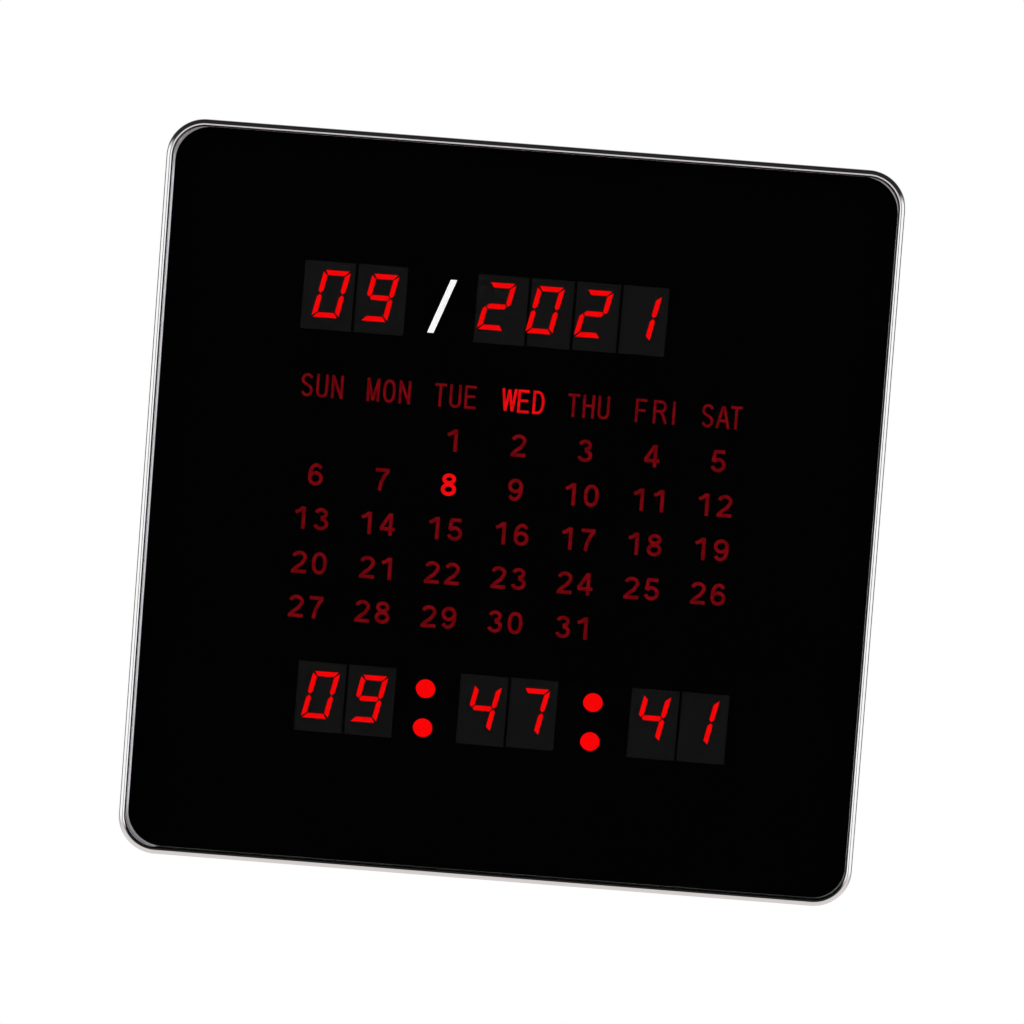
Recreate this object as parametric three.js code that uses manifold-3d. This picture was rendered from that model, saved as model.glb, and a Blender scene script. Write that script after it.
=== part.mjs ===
// A square digital wall clock: a glossy black panel in a slim plated bezel, with a red calendar above
// and between two rows of red figures. Millimetres. +Z is up and the face looks along -Y.
// The origin is the middle of the rear face, on the wall. Places across the face are given as x and z.
// Depth counts from the wall towards the front, so y is minus depth.
import * as THREE from "three";
import { mergeVertices } from "three/addons/utils/BufferGeometryUtils.js";
import Module from "manifold-3d";

// Outline of the case
const caseSize = 190;
const caseDepth = 28;
const caseCornerRadius = 10;

// Clearances and cutting
const seam = 0.3; // between pieces that meet without touching
const slimSeam = 0.1; // between moulded parts of one module, and the glue line behind the panel
const overrun = 1; // how far a cutter runs past the faces it opens

// Facets
const cornerSteps = 8; // flats in each rounded corner
const circleSteps = 20; // flats round a large circle
const smallCircleSteps = 12; // flats round a screw or a pin
const beadSteps = 6; // flats across each bead

// Bezel
const bezelSkirt = 10;
const beadWidth = 0.85;
const beadRise = 0.35;
const beadCount = 2;
const ledgeReach = 4.3;
const ledgeThickness = 2;
const ledgeCornerRadius = 26;

// Front panel and the printed film behind it
const panelRecess = 0.3;
const panelThickness = 3;
const panelGap = 0.15;
const panelBevel = 0.45;
const maskThickness = 0.3;
const maskMargin = 0.35;
const maskCornerRadius = 10.3;
const maskShiftX = 0.3;
const maskShiftZ = -0.1;

// Digit modules
const digitPitch = 12.5;
const digitModuleHeight = 19.2;
const digitHeight = 12.3;
const digitWidth = 7;
const barThickness = 1.36; // level segments
const uprightThickness = 1.33;
const segmentGap = 0.36;
const cornerCut = 0.26; // how much of the outer corner the level segments give up
const tipHalfWidth = 0.15; // blunt ends where the uprights meet in the middle
const tipLength = 0.3;
const digitLean = Math.tan(THREE.MathUtils.degToRad(11.5));
const inkShift = -0.5; // the figure stands left of its module's middle, beside the decimal point's place
const moduleRim = 0.9;
const lensBacking = 1.2;

// Windows in the film, and the rows that they stand in
const windowHeight = 17.8;
const windowBar = 0.75;
const upperRowInset = 43.05; // from the case's outline to the middle of the row
const lowerRowInset = 43.65;
const digitRise = 0.7; // the figures stand a little above the middle of their windows

// Groups of digits: middle of the window, its width, and the middle of the figures
const monthWindowX = -43.7;
const monthWindowWidth = 26.4;
const monthDigitsX = -43.5;
const yearWindowX = 12.05;
const yearWindowWidth = 48.9;
const yearDigitsX = 11.53;
const pairWindowWidth = 25.05;
const hoursWindowX = -38.45;
const hoursDigitsX = -38.7;
const minutesWindowX = 3.4;
const minutesDigitsX = 3.05;
const secondsWindowX = 47.4;
const secondsDigitsX = 46.55;
const pairBarShares = [0.5];
const yearBarShares = [0.271, 0.513, 0.755];

// Spacer frames round the digit modules
const frameMargin = 1.2;
const pocketGap = 0.15;

// Colon lamps
const lampRadius = 2.5;
const lampFlange = 0.4;
const lampFlangeHeight = 1;
const lampDomeRise = 1.25;
const lampDomeSteps = 4;
const lampSeat = 0.3;
const dotRadius = 2.52;
const firstColonX = -18.05;
const secondColonX = 25.1;
const upperDotRise = 4.3; // from the middle of the lower windows
const lowerDotDrop = 5.85;

// Calendar grid
const cellPitchX = 17.155;
const calendarX = 1.15;
const calendarRowGap = 17.3; // from the middle of a row of windows to the nearest cells
const cellWall = 1.2;
const diffuserThickness = 0.4;
const calendarColumns = 7;
const calendarRows = 6;
const blankCount = 2; // the first date stands under the third weekday
const dateCount = 31;
const chipLampWidth = 3.5;
const chipLampHeight = 2.8;
const chipLampRise = 1.9;

// Circuit board
const boardMargin = 21; // from the case's outline to the board's edge
const boardThickness = 1.6;
const boardTabWidth = 28;
const boardFixingInset = 5;

// Rear cover
const coverInset = 1;
const coverWall = 2.4;
const rearSpace = 12; // between the cover's wall and the board
const coverEdgeRadius = 3;
const coverEdgeSteps = 4;
const postRadius = 3.5;
const pegRadius = 1.5;
const pegRise = 1.4;

// Screws
const shankRadius = 1.3;
const screwHeadRadius = 2.75;
const screwHeadHeight = 1.9;
const driveWidth = 0.8;
const driveLength = 3.2;
const driveDepth = 1.1;
const coverScrewInset = 11;
const coverScrewLength = 10;
const boardScrewLength = 8;
const columnRadius = 4.7;
const columnFloor = 2;
const bossRadius = 3.3;
const bossLength = 10.3;

// Keyholes
const keyholeSideInset = 43; // from the case's outline
const keyholeTopInset = 27;
const keyholeRadius = 4.5;
const keySlotWidth = 4.6;
const keySlotLength = 9;

// Buttons and their switches
const buttonInset = 18; // from the board's edge
const buttonPitch = 16;
const buttonRadius = 3.5;
const buttonChamfer = 0.4;
const buttonSink = 0.3; // outer end below the rear face
const buttonTravel = 0.5;
const fingerDishRadius = 6;
const fingerDishDepth = 0.8;
const guideWall = 1.5;
const guideLength = 6;
const flangeWidth = 1.2;
const flangeThickness = 1.2;
const plungerRadius = 1.7;
const plungerRise = 1; // above the switch body at rest
const plungerSunk = 1.3; // inside the switch body at rest
const switchSize = 6;
const switchHeight = 3.5;

// Battery compartment
const batteryX = 38;
const batteryZ = -6;
const doorWidth = 28;
const doorHeight = 27;
const doorThickness = 1.6;
const doorSink = 0.6;
const doorPinRadius = 0.6;
const doorPinLength = 0.8;
const gripCount = 3;
const gripPitch = 2.2;
const gripWidth = 0.9;
const gripDepth = 0.5;
const gripLength = 12;
const gripRise = 5; // lowest grip above the door's lower edge
const notchRadius = 6;
const notchDepth = 1.4;
const wellWall = 1.4;
const wellDepth = 9;
const cellRadius = 10;
const cellThickness = 3.2;
const cellChamfer = 0.4;
const holderWall = 1.7;
const holderFloor = 1;
const holderLip = 0.4; // holder wall above the cell
const clipWidth = 8;
const clipThickness = 0.6;
const clipReach = 3;
const thumbSlotWidth = 10;

// Power inlet
const jackWidth = 9;
const jackLength = 14;
const jackGap = 1.5; // between the inlet and the cover's wall
const jackAxisSunk = 4.2; // its axis below its rear face
const jackBoreRadius = 3.2;
const jackBoreLength = 9.5;
const jackPinRadius = 1;
const jackPinSunk = 0.5;
const jackOverhang = 1.3; // past the end of the board's tab
const plugHoleRadius = 4.2;

// Parts on the rear of the board
const buzzerX = -30;
const buzzerZ = 40;
const buzzerRadius = 6;
const buzzerGap = 3.5; // between the buzzer and the cover's wall
const buzzerHoleRadius = 1;
const buzzerHoleDepth = 2;
const soundHoleRadius = 1.1;
const soundHoleRing = 3.6;
const soundHoleCount = 6;
const chipHeight = 2.4;
const chipWidth = 7.5;
const controlChipLength = 18;
const controlChipLegs = 9;
const controlChipX = 6;
const controlChipZ = 40;
const driverChipLength = 13;
const driverChipLegs = 6;
const driverChipX = -18;
const driverChipZ = -10;
const legPitch = 1.9;
const legWidth = 0.6;
const legReach = 1.4;
const legHeight = 1;
const capacitorX = 26;
const capacitorInset = 16; // from the board's lower edge
const capacitorRadius = 4;
const capacitorGap = 1.5;
const capacitorGroove = 0.4;
const capacitorGrooveRise = 2;

// Vents and the bare plate recess
const ventCount = 7;
const ventPitch = 5;
const ventWidth = 2;
const ventHeight = 16;
const ventInset = 29; // from the case's outline to the middle of the vents
const plateRecessWidth = 64;
const plateRecessHeight = 26;
const plateRecessDepth = 0.4;
const plateRecessZ = -48;

// Places that follow from the sizes above, as depths from the wall
const bezelWall = beadWidth * beadCount;
const bezelRear = caseDepth - bezelSkirt;
const panelFront = caseDepth - panelRecess;
const panelRear = panelFront - panelThickness;
const maskFront = panelRear - slimSeam;
const maskRear = maskFront - maskThickness;
const ledgeRear = maskRear - ledgeThickness;
const faceDepth = maskRear - seam;
const boardRear = coverWall + rearSpace;
const boardFront = boardRear + boardThickness;
const coverFront = bezelRear - seam;
const tongueFront = ledgeRear - seam;
const columnLength = ledgeRear - bossLength;
const panelInset = bezelWall + panelGap;
const coverInner = coverInset + coverWall;
const plungerTop = boardRear - switchHeight - plungerRise;
const halfBoard = caseSize / 2 - boardMargin;
const fixing = halfBoard - boardFixingInset;
const cornerScrew = caseSize / 2 - coverScrewInset;
const upperWindowZ = caseSize / 2 - upperRowInset;
const lowerWindowZ = lowerRowInset - caseSize / 2;
const upperDotZ = lowerWindowZ + upperDotRise;
const lowerDotZ = lowerWindowZ - lowerDotDrop;
const calendarZ = (upperWindowZ + lowerWindowZ) / 2;
const cellPitchZ = (upperWindowZ - lowerWindowZ - 2 * calendarRowGap) / calendarRows;
const keyholeX = caseSize / 2 - keyholeSideInset;
const keyholeZ = caseSize / 2 - keyholeTopInset;
const ventZ = caseSize / 2 - ventInset;
const buttonX = buttonInset - halfBoard;
const capacitorZ = capacitorInset - halfBoard;
const doorAxisDepth = doorSink + doorThickness / 2;
const doorAxisZ = batteryZ + doorHeight / 2 - doorThickness / 2;
const doorBottomZ = batteryZ - doorHeight / 2;
const jackAxisDepth = coverWall + jackGap + jackAxisSunk;
const jackMouthZ = -(caseSize / 2 - coverInner - seam);
const tabEndZ = jackMouthZ + jackOverhang;

const digitGroups = [
  { name: "month", x: monthDigitsX, row: upperWindowZ, places: ["tens", "ones"] },
  { name: "year", x: yearDigitsX, row: upperWindowZ, places: ["thousands", "hundreds", "tens", "ones"] },
  { name: "hours", x: hoursDigitsX, row: lowerWindowZ, places: ["tens", "ones"] },
  { name: "minutes", x: minutesDigitsX, row: lowerWindowZ, places: ["tens", "ones"] },
  { name: "seconds", x: secondsDigitsX, row: lowerWindowZ, places: ["tens", "ones"] },
];
const windows = [
  { x: monthWindowX, z: upperWindowZ, width: monthWindowWidth, barShares: pairBarShares },
  { x: yearWindowX, z: upperWindowZ, width: yearWindowWidth, barShares: yearBarShares },
  { x: hoursWindowX, z: lowerWindowZ, width: pairWindowWidth, barShares: pairBarShares },
  { x: minutesWindowX, z: lowerWindowZ, width: pairWindowWidth, barShares: pairBarShares },
  { x: secondsWindowX, z: lowerWindowZ, width: pairWindowWidth, barShares: pairBarShares },
];
const colonLamps = [
  { name: "first_colon_upper_lamp", x: firstColonX, z: upperDotZ },
  { name: "first_colon_lower_lamp", x: firstColonX, z: lowerDotZ },
  { name: "second_colon_upper_lamp", x: secondColonX, z: upperDotZ },
  { name: "second_colon_lower_lamp", x: secondColonX, z: lowerDotZ },
];
const buttons = [
  { name: "set", z: buttonPitch },
  { name: "up", z: 0 },
  { name: "down", z: -buttonPitch },
];

// Finishes
function finish(color, roughness, metalness = 0) {
  return new THREE.MeshStandardMaterial({ color, roughness, metalness, flatShading: true });
}
const plated = finish(0xd8d9dc, 0.06, 1);
const clearAcrylic = finish(0xe8eef0, 0.04);
clearAcrylic.transparent = true;
clearAcrylic.opacity = 0.3;
const blackPrint = finish(0x050505, 0.35);
const blackPlastic = finish(0x151515, 0.5);
const greyPlastic = finish(0x161616, 0.6);
const redResin = finish(0x6a0808, 0.4);
const redLamp = finish(0xff1400, 0.25);
const whitePlastic = finish(0xe6e6e2, 0.55);
const boardGreen = finish(0x14532d, 0.45);
const buttonRubber = finish(0x2a2a2c, 0.65);
const steel = finish(0xb4b6b8, 0.3, 1);
const chipBlack = finish(0x1a1a1c, 0.55);
const capacitorSleeve = finish(0x20242e, 0.4);

const wasm = await Module();
wasm.setup();

// A closed three.js geometry as a solid. A profile that ran the other way round is turned to face out.
function solidOf(geometry) {
  geometry.deleteAttribute("normal");
  geometry.deleteAttribute("uv");
  const merged = mergeVertices(geometry);
  const triVerts = new Uint32Array(merged.index.array);
  const vertProperties = merged.getAttribute("position").array;
  const solid = new wasm.Manifold(new wasm.Mesh({ numProp: 3, vertProperties, triVerts }));
  if (solid.volume() >= 0) return solid;
  return new wasm.Manifold(new wasm.Mesh({ numProp: 3, vertProperties, triVerts: triVerts.reverse() }));
}

function joined(solids) {
  return solids.reduce((whole, solid) => whole.add(solid));
}

function cut(body, tools) {
  return tools.reduce((rest, tool) => rest.subtract(tool), body);
}

// A flat outline in x and z, carried from one depth to another.
function prism(shape, nearDepth, farDepth) {
  const options = { depth: farDepth - nearDepth, bevelEnabled: false };
  const geometry = new THREE.ExtrudeGeometry(shape, options);
  geometry.rotateX(Math.PI / 2);
  geometry.translate(0, -nearDepth, 0);
  return solidOf(geometry);
}

function block(x, z, width, height, nearDepth, farDepth) {
  const geometry = new THREE.BoxGeometry(width, farDepth - nearDepth, height);
  geometry.translate(x, -(nearDepth + farDepth) / 2, z);
  return solidOf(geometry);
}

// A rod square to the face.
function rod(x, z, radius, nearDepth, farDepth, steps = smallCircleSteps) {
  const geometry = new THREE.CylinderGeometry(radius, radius, farDepth - nearDepth, steps);
  geometry.translate(x, -(nearDepth + farDepth) / 2, z);
  return solidOf(geometry);
}

// A rod that runs left and right.
function levelRod(leftX, rightX, z, depth, radius) {
  const geometry = new THREE.CylinderGeometry(radius, radius, rightX - leftX, smallCircleSteps);
  geometry.rotateZ(Math.PI / 2);
  geometry.translate((leftX + rightX) / 2, -depth, z);
  return solidOf(geometry);
}

// A rod that runs up and down.
function uprightRod(x, depth, lowZ, highZ, radius, steps = smallCircleSteps) {
  const geometry = new THREE.CylinderGeometry(radius, radius, highZ - lowZ, steps);
  geometry.rotateX(Math.PI / 2);
  geometry.translate(x, -depth, (lowZ + highZ) / 2);
  return solidOf(geometry);
}

// A turned piece, square to the face: pairs of radius and depth that start and end on its axis.
function turned(profile, steps = circleSteps) {
  const points = profile.map(([radius, depth]) => new THREE.Vector2(radius, -depth));
  return solidOf(new THREE.LatheGeometry(points, steps));
}

// The corner-rounded square, as points in x and z that run round it once.
function squareLoop(halfSize, radius, shiftX = 0, shiftZ = 0) {
  const middle = halfSize - radius;
  const corners = [[1, 1], [-1, 1], [-1, -1], [1, -1]];
  return corners.flatMap(([sideX, sideZ], quarter) =>
    Array.from({ length: cornerSteps + 1 }, (_, step) => {
      const angle = (quarter + step / cornerSteps) * (Math.PI / 2);
      return [
        shiftX + sideX * middle + radius * Math.cos(angle),
        shiftZ + sideZ * middle + radius * Math.sin(angle),
      ];
    }),
  );
}

// Corner-rounded squares at given depths, skinned one to the next. A ring also joins its ends.
function skinned(levels, isRing) {
  const loops = levels.map(({ inset, depth, radius = caseCornerRadius - inset }) => ({
    depth,
    points: squareLoop(caseSize / 2 - inset, radius),
  }));
  const around = loops[0].points.length;
  const position = loops.flatMap(({ depth, points }) => points.flatMap(([x, z]) => [x, -depth, z]));
  const index = [];
  const bands = isRing ? loops.length : loops.length - 1;
  for (let band = 0; band < bands; band++) {
    const here = band * around;
    const there = ((band + 1) % loops.length) * around;
    for (let i = 0; i < around; i++) {
      const next = (i + 1) % around;
      index.push(here + i, here + next, there + next);
      index.push(here + i, there + next, there + i);
    }
  }
  if (!isRing) {
    const last = bands * around;
    for (let i = 1; i < around - 1; i++) {
      index.push(0, i + 1, i);
      index.push(last, last + i, last + i + 1);
    }
  }
  const geometry = new THREE.BufferGeometry();
  geometry.setAttribute("position", new THREE.Float32BufferAttribute(position, 3));
  geometry.setIndex(index);
  return solidOf(geometry);
}

function outline(points) {
  return new THREE.Shape(points.map(([x, z]) => new THREE.Vector2(x, z)));
}

const clock = new THREE.Group();

function addPiece(name, solid, material, x = 0, z = 0) {
  const { vertProperties, triVerts } = solid.getMesh();
  const geometry = new THREE.BufferGeometry();
  geometry.setAttribute("position", new THREE.BufferAttribute(vertProperties, 3));
  geometry.setIndex(new THREE.BufferAttribute(triVerts, 1));
  const mesh = new THREE.Mesh(geometry, material);
  mesh.name = name;
  mesh.position.set(x, 0, z);
  clock.add(mesh);
}

// Every corner place, as pairs of signs.
const fourCorners = [[-1, 1], [1, 1], [-1, -1], [1, -1]];

// The plated ring: two half-round beads in front, a ledge for the panel, and a boss in each corner.
function bezelFrame() {
  const beadFoot = caseDepth - beadRise;
  const beads = Array.from({ length: beadCount * beadSteps + 1 }, (_, step) => {
    const turn = ((step % beadSteps) / beadSteps) * Math.PI;
    const bead = Math.min(Math.floor(step / beadSteps), beadCount);
    const across = (beadWidth / 2) * (1 - Math.cos(turn));
    return { inset: bead * beadWidth + across, depth: beadFoot + beadRise * Math.sin(turn) };
  });
  const ring = skinned([
    { inset: 0, depth: bezelRear },
    ...beads,
    { inset: bezelWall, depth: maskRear },
    { inset: bezelWall + ledgeReach, depth: maskRear, radius: ledgeCornerRadius },
    { inset: bezelWall + ledgeReach, depth: ledgeRear, radius: ledgeCornerRadius },
    { inset: bezelWall, depth: ledgeRear },
    { inset: bezelWall, depth: bezelRear },
  ], true);
  const bossEnd = ledgeRear + ledgeThickness / 2;
  const bosses = fourCorners.map(([sideX, sideZ]) =>
    rod(sideX * cornerScrew, sideZ * cornerScrew, bossRadius, columnLength, bossEnd));
  const pilotEnd = columnLength - columnFloor + coverScrewLength + seam;
  const pilots = fourCorners.map(([sideX, sideZ]) =>
    rod(sideX * cornerScrew, sideZ * cornerScrew, shankRadius + seam, columnLength - overrun, pilotEnd));
  return cut(joined([ring, ...bosses]), pilots);
}

function frontPanel() {
  return skinned([
    { inset: panelInset, depth: panelRear },
    { inset: panelInset, depth: panelFront - panelBevel },
    { inset: panelInset + panelBevel, depth: panelFront },
  ], false);
}

// Cutters for one window of the film, split by thin bars that stand at shares of its width.
function windowCutters({ x, z, width, barShares }) {
  const left = x - width / 2;
  const bars = barShares.map((share) => left + share * width);
  const starts = [left, ...bars.map((bar) => bar + windowBar / 2)];
  const ends = [...bars.map((bar) => bar - windowBar / 2), left + width];
  return starts.map((start, i) => {
    const middle = (start + ends[i]) / 2;
    return block(middle, z, ends[i] - start, windowHeight, maskRear - overrun, maskFront + overrun);
  });
}

function maskSheet() {
  const half = caseSize / 2 - panelInset - maskMargin;
  const film = outline(squareLoop(half, maskCornerRadius, maskShiftX, maskShiftZ));
  const dots = colonLamps.map(({ x, z }) =>
    rod(x, z, dotRadius, maskRear - overrun, maskFront + overrun, circleSteps));
  return cut(prism(film, maskRear, maskFront), [...windows.flatMap(windowCutters), ...dots]);
}

// Moves every side of a convex outline inwards. The outline runs against the clock.
function shrunk(points, distance) {
  const sides = points.map(([x, z], i) => {
    const [nextX, nextZ] = points[(i + 1) % points.length];
    const length = Math.hypot(nextX - x, nextZ - z);
    const [alongX, alongZ] = [(nextX - x) / length, (nextZ - z) / length];
    return { x: x - alongZ * distance, z: z + alongX * distance, alongX, alongZ };
  });
  return sides.map((side, i) => {
    const before = sides[(i + sides.length - 1) % sides.length];
    const turn = before.alongX * side.alongZ - before.alongZ * side.alongX;
    const reach = ((side.x - before.x) * side.alongZ - (side.z - before.z) * side.alongX) / turn;
    return [before.x + before.alongX * reach, before.z + before.alongZ * reach];
  });
}

// The seven segments of an upright figure, each a convex outline about the figure's middle.
function segmentOutlines() {
  const right = digitWidth / 2;
  const top = digitHeight / 2;
  const mitre = segmentGap / Math.SQRT2 / 2;
  const inner = right - uprightThickness;
  const middleTop = barThickness / 2;
  const tip = segmentGap / 2;
  const topBar = [
    [inner - mitre, top - barThickness], [right - cornerCut - mitre, top],
    [cornerCut + mitre - right, top], [mitre - inner, top - barThickness],
  ];
  const middleBar = [
    [inner - mitre, -middleTop], [inner + middleTop - mitre - tip, 0], [inner - mitre, middleTop],
    [mitre - inner, middleTop], [tip + mitre - inner - middleTop, 0], [mitre - inner, -middleTop],
  ];
  const middleX = right - uprightThickness / 2;
  const upperRight = [
    [middleX - tipHalfWidth, tip], [middleX + tipHalfWidth, tip],
    [right, tip + middleTop - tipLength / 2], [right, top - cornerCut - mitre],
    [inner, top - barThickness - mitre], [inner, tip + middleTop],
  ];
  const mirroredX = (points) => points.map(([x, z]) => [-x, z]).reverse();
  const mirroredZ = (points) => points.map(([x, z]) => [x, -z]).reverse();
  const upperLeft = mirroredX(upperRight);
  return [
    topBar, upperRight, mirroredZ(upperRight), mirroredZ(topBar),
    mirroredZ(upperLeft), upperLeft, middleBar,
  ];
}

// Leans an upright outline to the right and sets it at the figure's place in its module.
function leaned(points) {
  return points.map(([x, z]) => [inkShift + x + digitLean * z, z]);
}

// The module's dark shell, open at each segment, with a shallow pocket at its back for the resin.
function digitCase() {
  const width = digitPitch - slimSeam;
  const shell = block(0, 0, width, digitModuleHeight, boardFront, faceDepth);
  const openings = segmentOutlines().map((points) =>
    prism(outline(leaned(points)), boardFront - overrun, faceDepth + overrun));
  const pocketWidth = width - 2 * moduleRim;
  const pocketHeight = digitModuleHeight - 2 * moduleRim;
  const pocket = block(0, 0, pocketWidth, pocketHeight, boardFront - overrun, boardFront + lensBacking);
  return cut(shell, [...openings, pocket]);
}

// The cast resin: seven light pipes on one thin back.
function digitLens() {
  const rim = moduleRim + slimSeam;
  const width = digitPitch - slimSeam - 2 * rim;
  const height = digitModuleHeight - 2 * rim;
  const backing = block(0, 0, width, height, boardFront, boardFront + lensBacking - slimSeam);
  const pipes = segmentOutlines().map((points) =>
    prism(outline(shrunk(leaned(points), slimSeam / 2)), boardFront + lensBacking / 2, faceDepth));
  return joined([backing, ...pipes]);
}

// Where each module of a group stands.
function digitPlaces({ name, x, row, places }) {
  return places.map((place, i) => ({
    name: `${name}_${place}`,
    x: x - inkShift + (i - (places.length - 1) / 2) * digitPitch,
    z: row + digitRise,
  }));
}

// A spacer frame round the modules of one row: its outline covers the row's windows.
function digitFrame(row) {
  const groups = digitGroups.filter((group) => group.row === row);
  const rowWindows = windows.filter(({ z }) => z === row);
  const left = Math.min(...rowWindows.map(({ x, width }) => x - width / 2)) - frameMargin;
  const right = Math.max(...rowWindows.map(({ x, width }) => x + width / 2)) + frameMargin;
  const z = row + digitRise;
  const pocketHeight = digitModuleHeight + 2 * pocketGap;
  const plateHeight = pocketHeight + 2 * frameMargin;
  const plate = block((left + right) / 2, z, right - left, plateHeight, boardFront, faceDepth);
  const span = [boardFront - overrun, faceDepth + overrun];
  const pockets = groups.map(({ x, places }) => {
    const width = places.length * digitPitch + 2 * pocketGap;
    return block(x - inkShift, z, width, pocketHeight, ...span);
  });
  const lampHoles = colonLamps
    .filter((lamp) => Math.abs(lamp.z - row) < windowHeight / 2)
    .map((lamp) => rod(lamp.x, lamp.z, lampRadius + lampFlange + lampSeat, ...span, circleSteps));
  return cut(plate, [...pockets, ...lampHoles]);
}

// A round lamp with a flange at its foot and a domed end.
function colonLamp() {
  const domeFoot = faceDepth - lampDomeRise;
  const dome = Array.from({ length: lampDomeSteps }, (_, step) => {
    const turn = (step / lampDomeSteps) * (Math.PI / 2);
    return [lampRadius * Math.cos(turn), domeFoot + lampDomeRise * Math.sin(turn)];
  });
  return turned([
    [0, boardFront],
    [lampRadius + lampFlange, boardFront],
    [lampRadius + lampFlange, boardFront + lampFlangeHeight],
    [lampRadius, boardFront + lampFlangeHeight],
    ...dome,
    [0, faceDepth],
  ], smallCircleSteps);
}

// The middle of every cell in use: seven weekdays, then the dates in their fixed grid.
function calendarCells() {
  const cells = [];
  for (let row = 0; row < calendarRows; row++) {
    for (let column = 0; column < calendarColumns; column++) {
      const date = (row - 1) * calendarColumns + column - blankCount;
      const isWeekday = row === 0;
      const isDate = date >= 0 && date < dateCount;
      if (!isWeekday && !isDate) continue;
      cells.push({
        x: calendarX + (column - (calendarColumns - 1) / 2) * cellPitchX,
        z: calendarZ + ((calendarRows - 1) / 2 - row) * cellPitchZ,
      });
    }
  }
  return cells;
}

const calendarWidth = calendarColumns * cellPitchX + cellWall;
const calendarHeight = calendarRows * cellPitchZ + cellWall;

function calendarLightBox() {
  const front = faceDepth - diffuserThickness;
  const grid = block(calendarX, calendarZ, calendarWidth, calendarHeight, boardFront, front);
  const cells = calendarCells().map(({ x, z }) =>
    block(x, z, cellPitchX - cellWall, cellPitchZ - cellWall, boardFront - overrun, front + overrun));
  return cut(grid, cells);
}

function calendarDiffuser() {
  const near = faceDepth - diffuserThickness;
  return block(calendarX, calendarZ, calendarWidth, calendarHeight, near, faceDepth);
}

// The board: a square with a tab below for the power inlet, and a lamp chip under each calendar cell.
function displayBoard() {
  const [half, tab] = [halfBoard, boardTabWidth / 2];
  const board = outline([
    [-half, half], [-half, -half], [-tab, -half], [-tab, tabEndZ],
    [tab, tabEndZ], [tab, -half], [half, -half], [half, half],
  ]);
  const chipFoot = boardFront - boardThickness / 2;
  const chips = calendarCells().map(({ x, z }) =>
    block(x, z, chipLampWidth, chipLampHeight, chipFoot, boardFront + chipLampRise));
  const holes = fourCorners.map(([sideX, sideZ]) => {
    const radius = sideZ > 0 ? pegRadius : shankRadius;
    return rod(sideX * fixing, sideZ * fixing, radius + seam, boardRear - overrun, boardFront + overrun);
  });
  return cut(joined([prism(board, boardRear, boardFront), ...chips]), holes);
}

// The pan: its side wall, rounded at the rear, then a thin tongue that slips inside the bezel.
function coverShell() {
  const edge = Array.from({ length: coverEdgeSteps + 1 }, (_, step) => {
    const turn = (step / coverEdgeSteps) * (Math.PI / 2);
    return {
      inset: coverInset + coverEdgeRadius * (1 - Math.sin(turn)),
      depth: coverEdgeRadius * (1 - Math.cos(turn)),
    };
  });
  const tongueInset = bezelWall + seam;
  const outside = skinned([
    ...edge,
    { inset: coverInset, depth: coverFront },
    { inset: tongueInset, depth: coverFront },
    { inset: tongueInset, depth: tongueFront },
  ], false);
  const hollow = skinned([
    { inset: coverInner, depth: coverWall },
    { inset: coverInner, depth: tongueFront + overrun },
  ], false);
  return outside.subtract(hollow);
}

// A round head opening joined to a narrow slot above it.
function keyholeCut(x) {
  const half = keySlotWidth / 2;
  const slotTop = keyholeZ + keySlotLength;
  return joined([
    rod(x, keyholeZ, keyholeRadius, -overrun, coverWall + overrun, circleSteps),
    block(x, (keyholeZ + slotTop) / 2, keySlotWidth, keySlotLength, -overrun, coverWall + overrun),
    rod(x, slotTop, half, -overrun, coverWall + overrun),
  ]);
}

// What stands up inside the pan. Each foot starts halfway through the wall, to join it.
function coverFeatures() {
  const foot = coverWall / 2;
  const columns = fourCorners.map(([sideX, sideZ]) =>
    rod(sideX * cornerScrew, sideZ * cornerScrew, columnRadius, foot, columnLength, circleSteps));
  const posts = fourCorners.map(([sideX, sideZ]) =>
    rod(sideX * fixing, sideZ * fixing, postRadius, foot, boardRear));
  const pegs = [-1, 1].map((side) =>
    rod(side * fixing, fixing, pegRadius, foot, boardFront + pegRise));
  const guides = buttons.map(({ z }) =>
    rod(buttonX, z, buttonRadius + seam + guideWall, foot, guideLength, circleSteps));
  const wellWidth = doorWidth + 2 * (seam + wellWall);
  const wellHeight = doorHeight + 2 * (seam + wellWall);
  const well = block(batteryX, batteryZ, wellWidth, wellHeight, foot, wellDepth);
  return [...columns, ...posts, ...pegs, ...guides, well];
}

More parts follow.
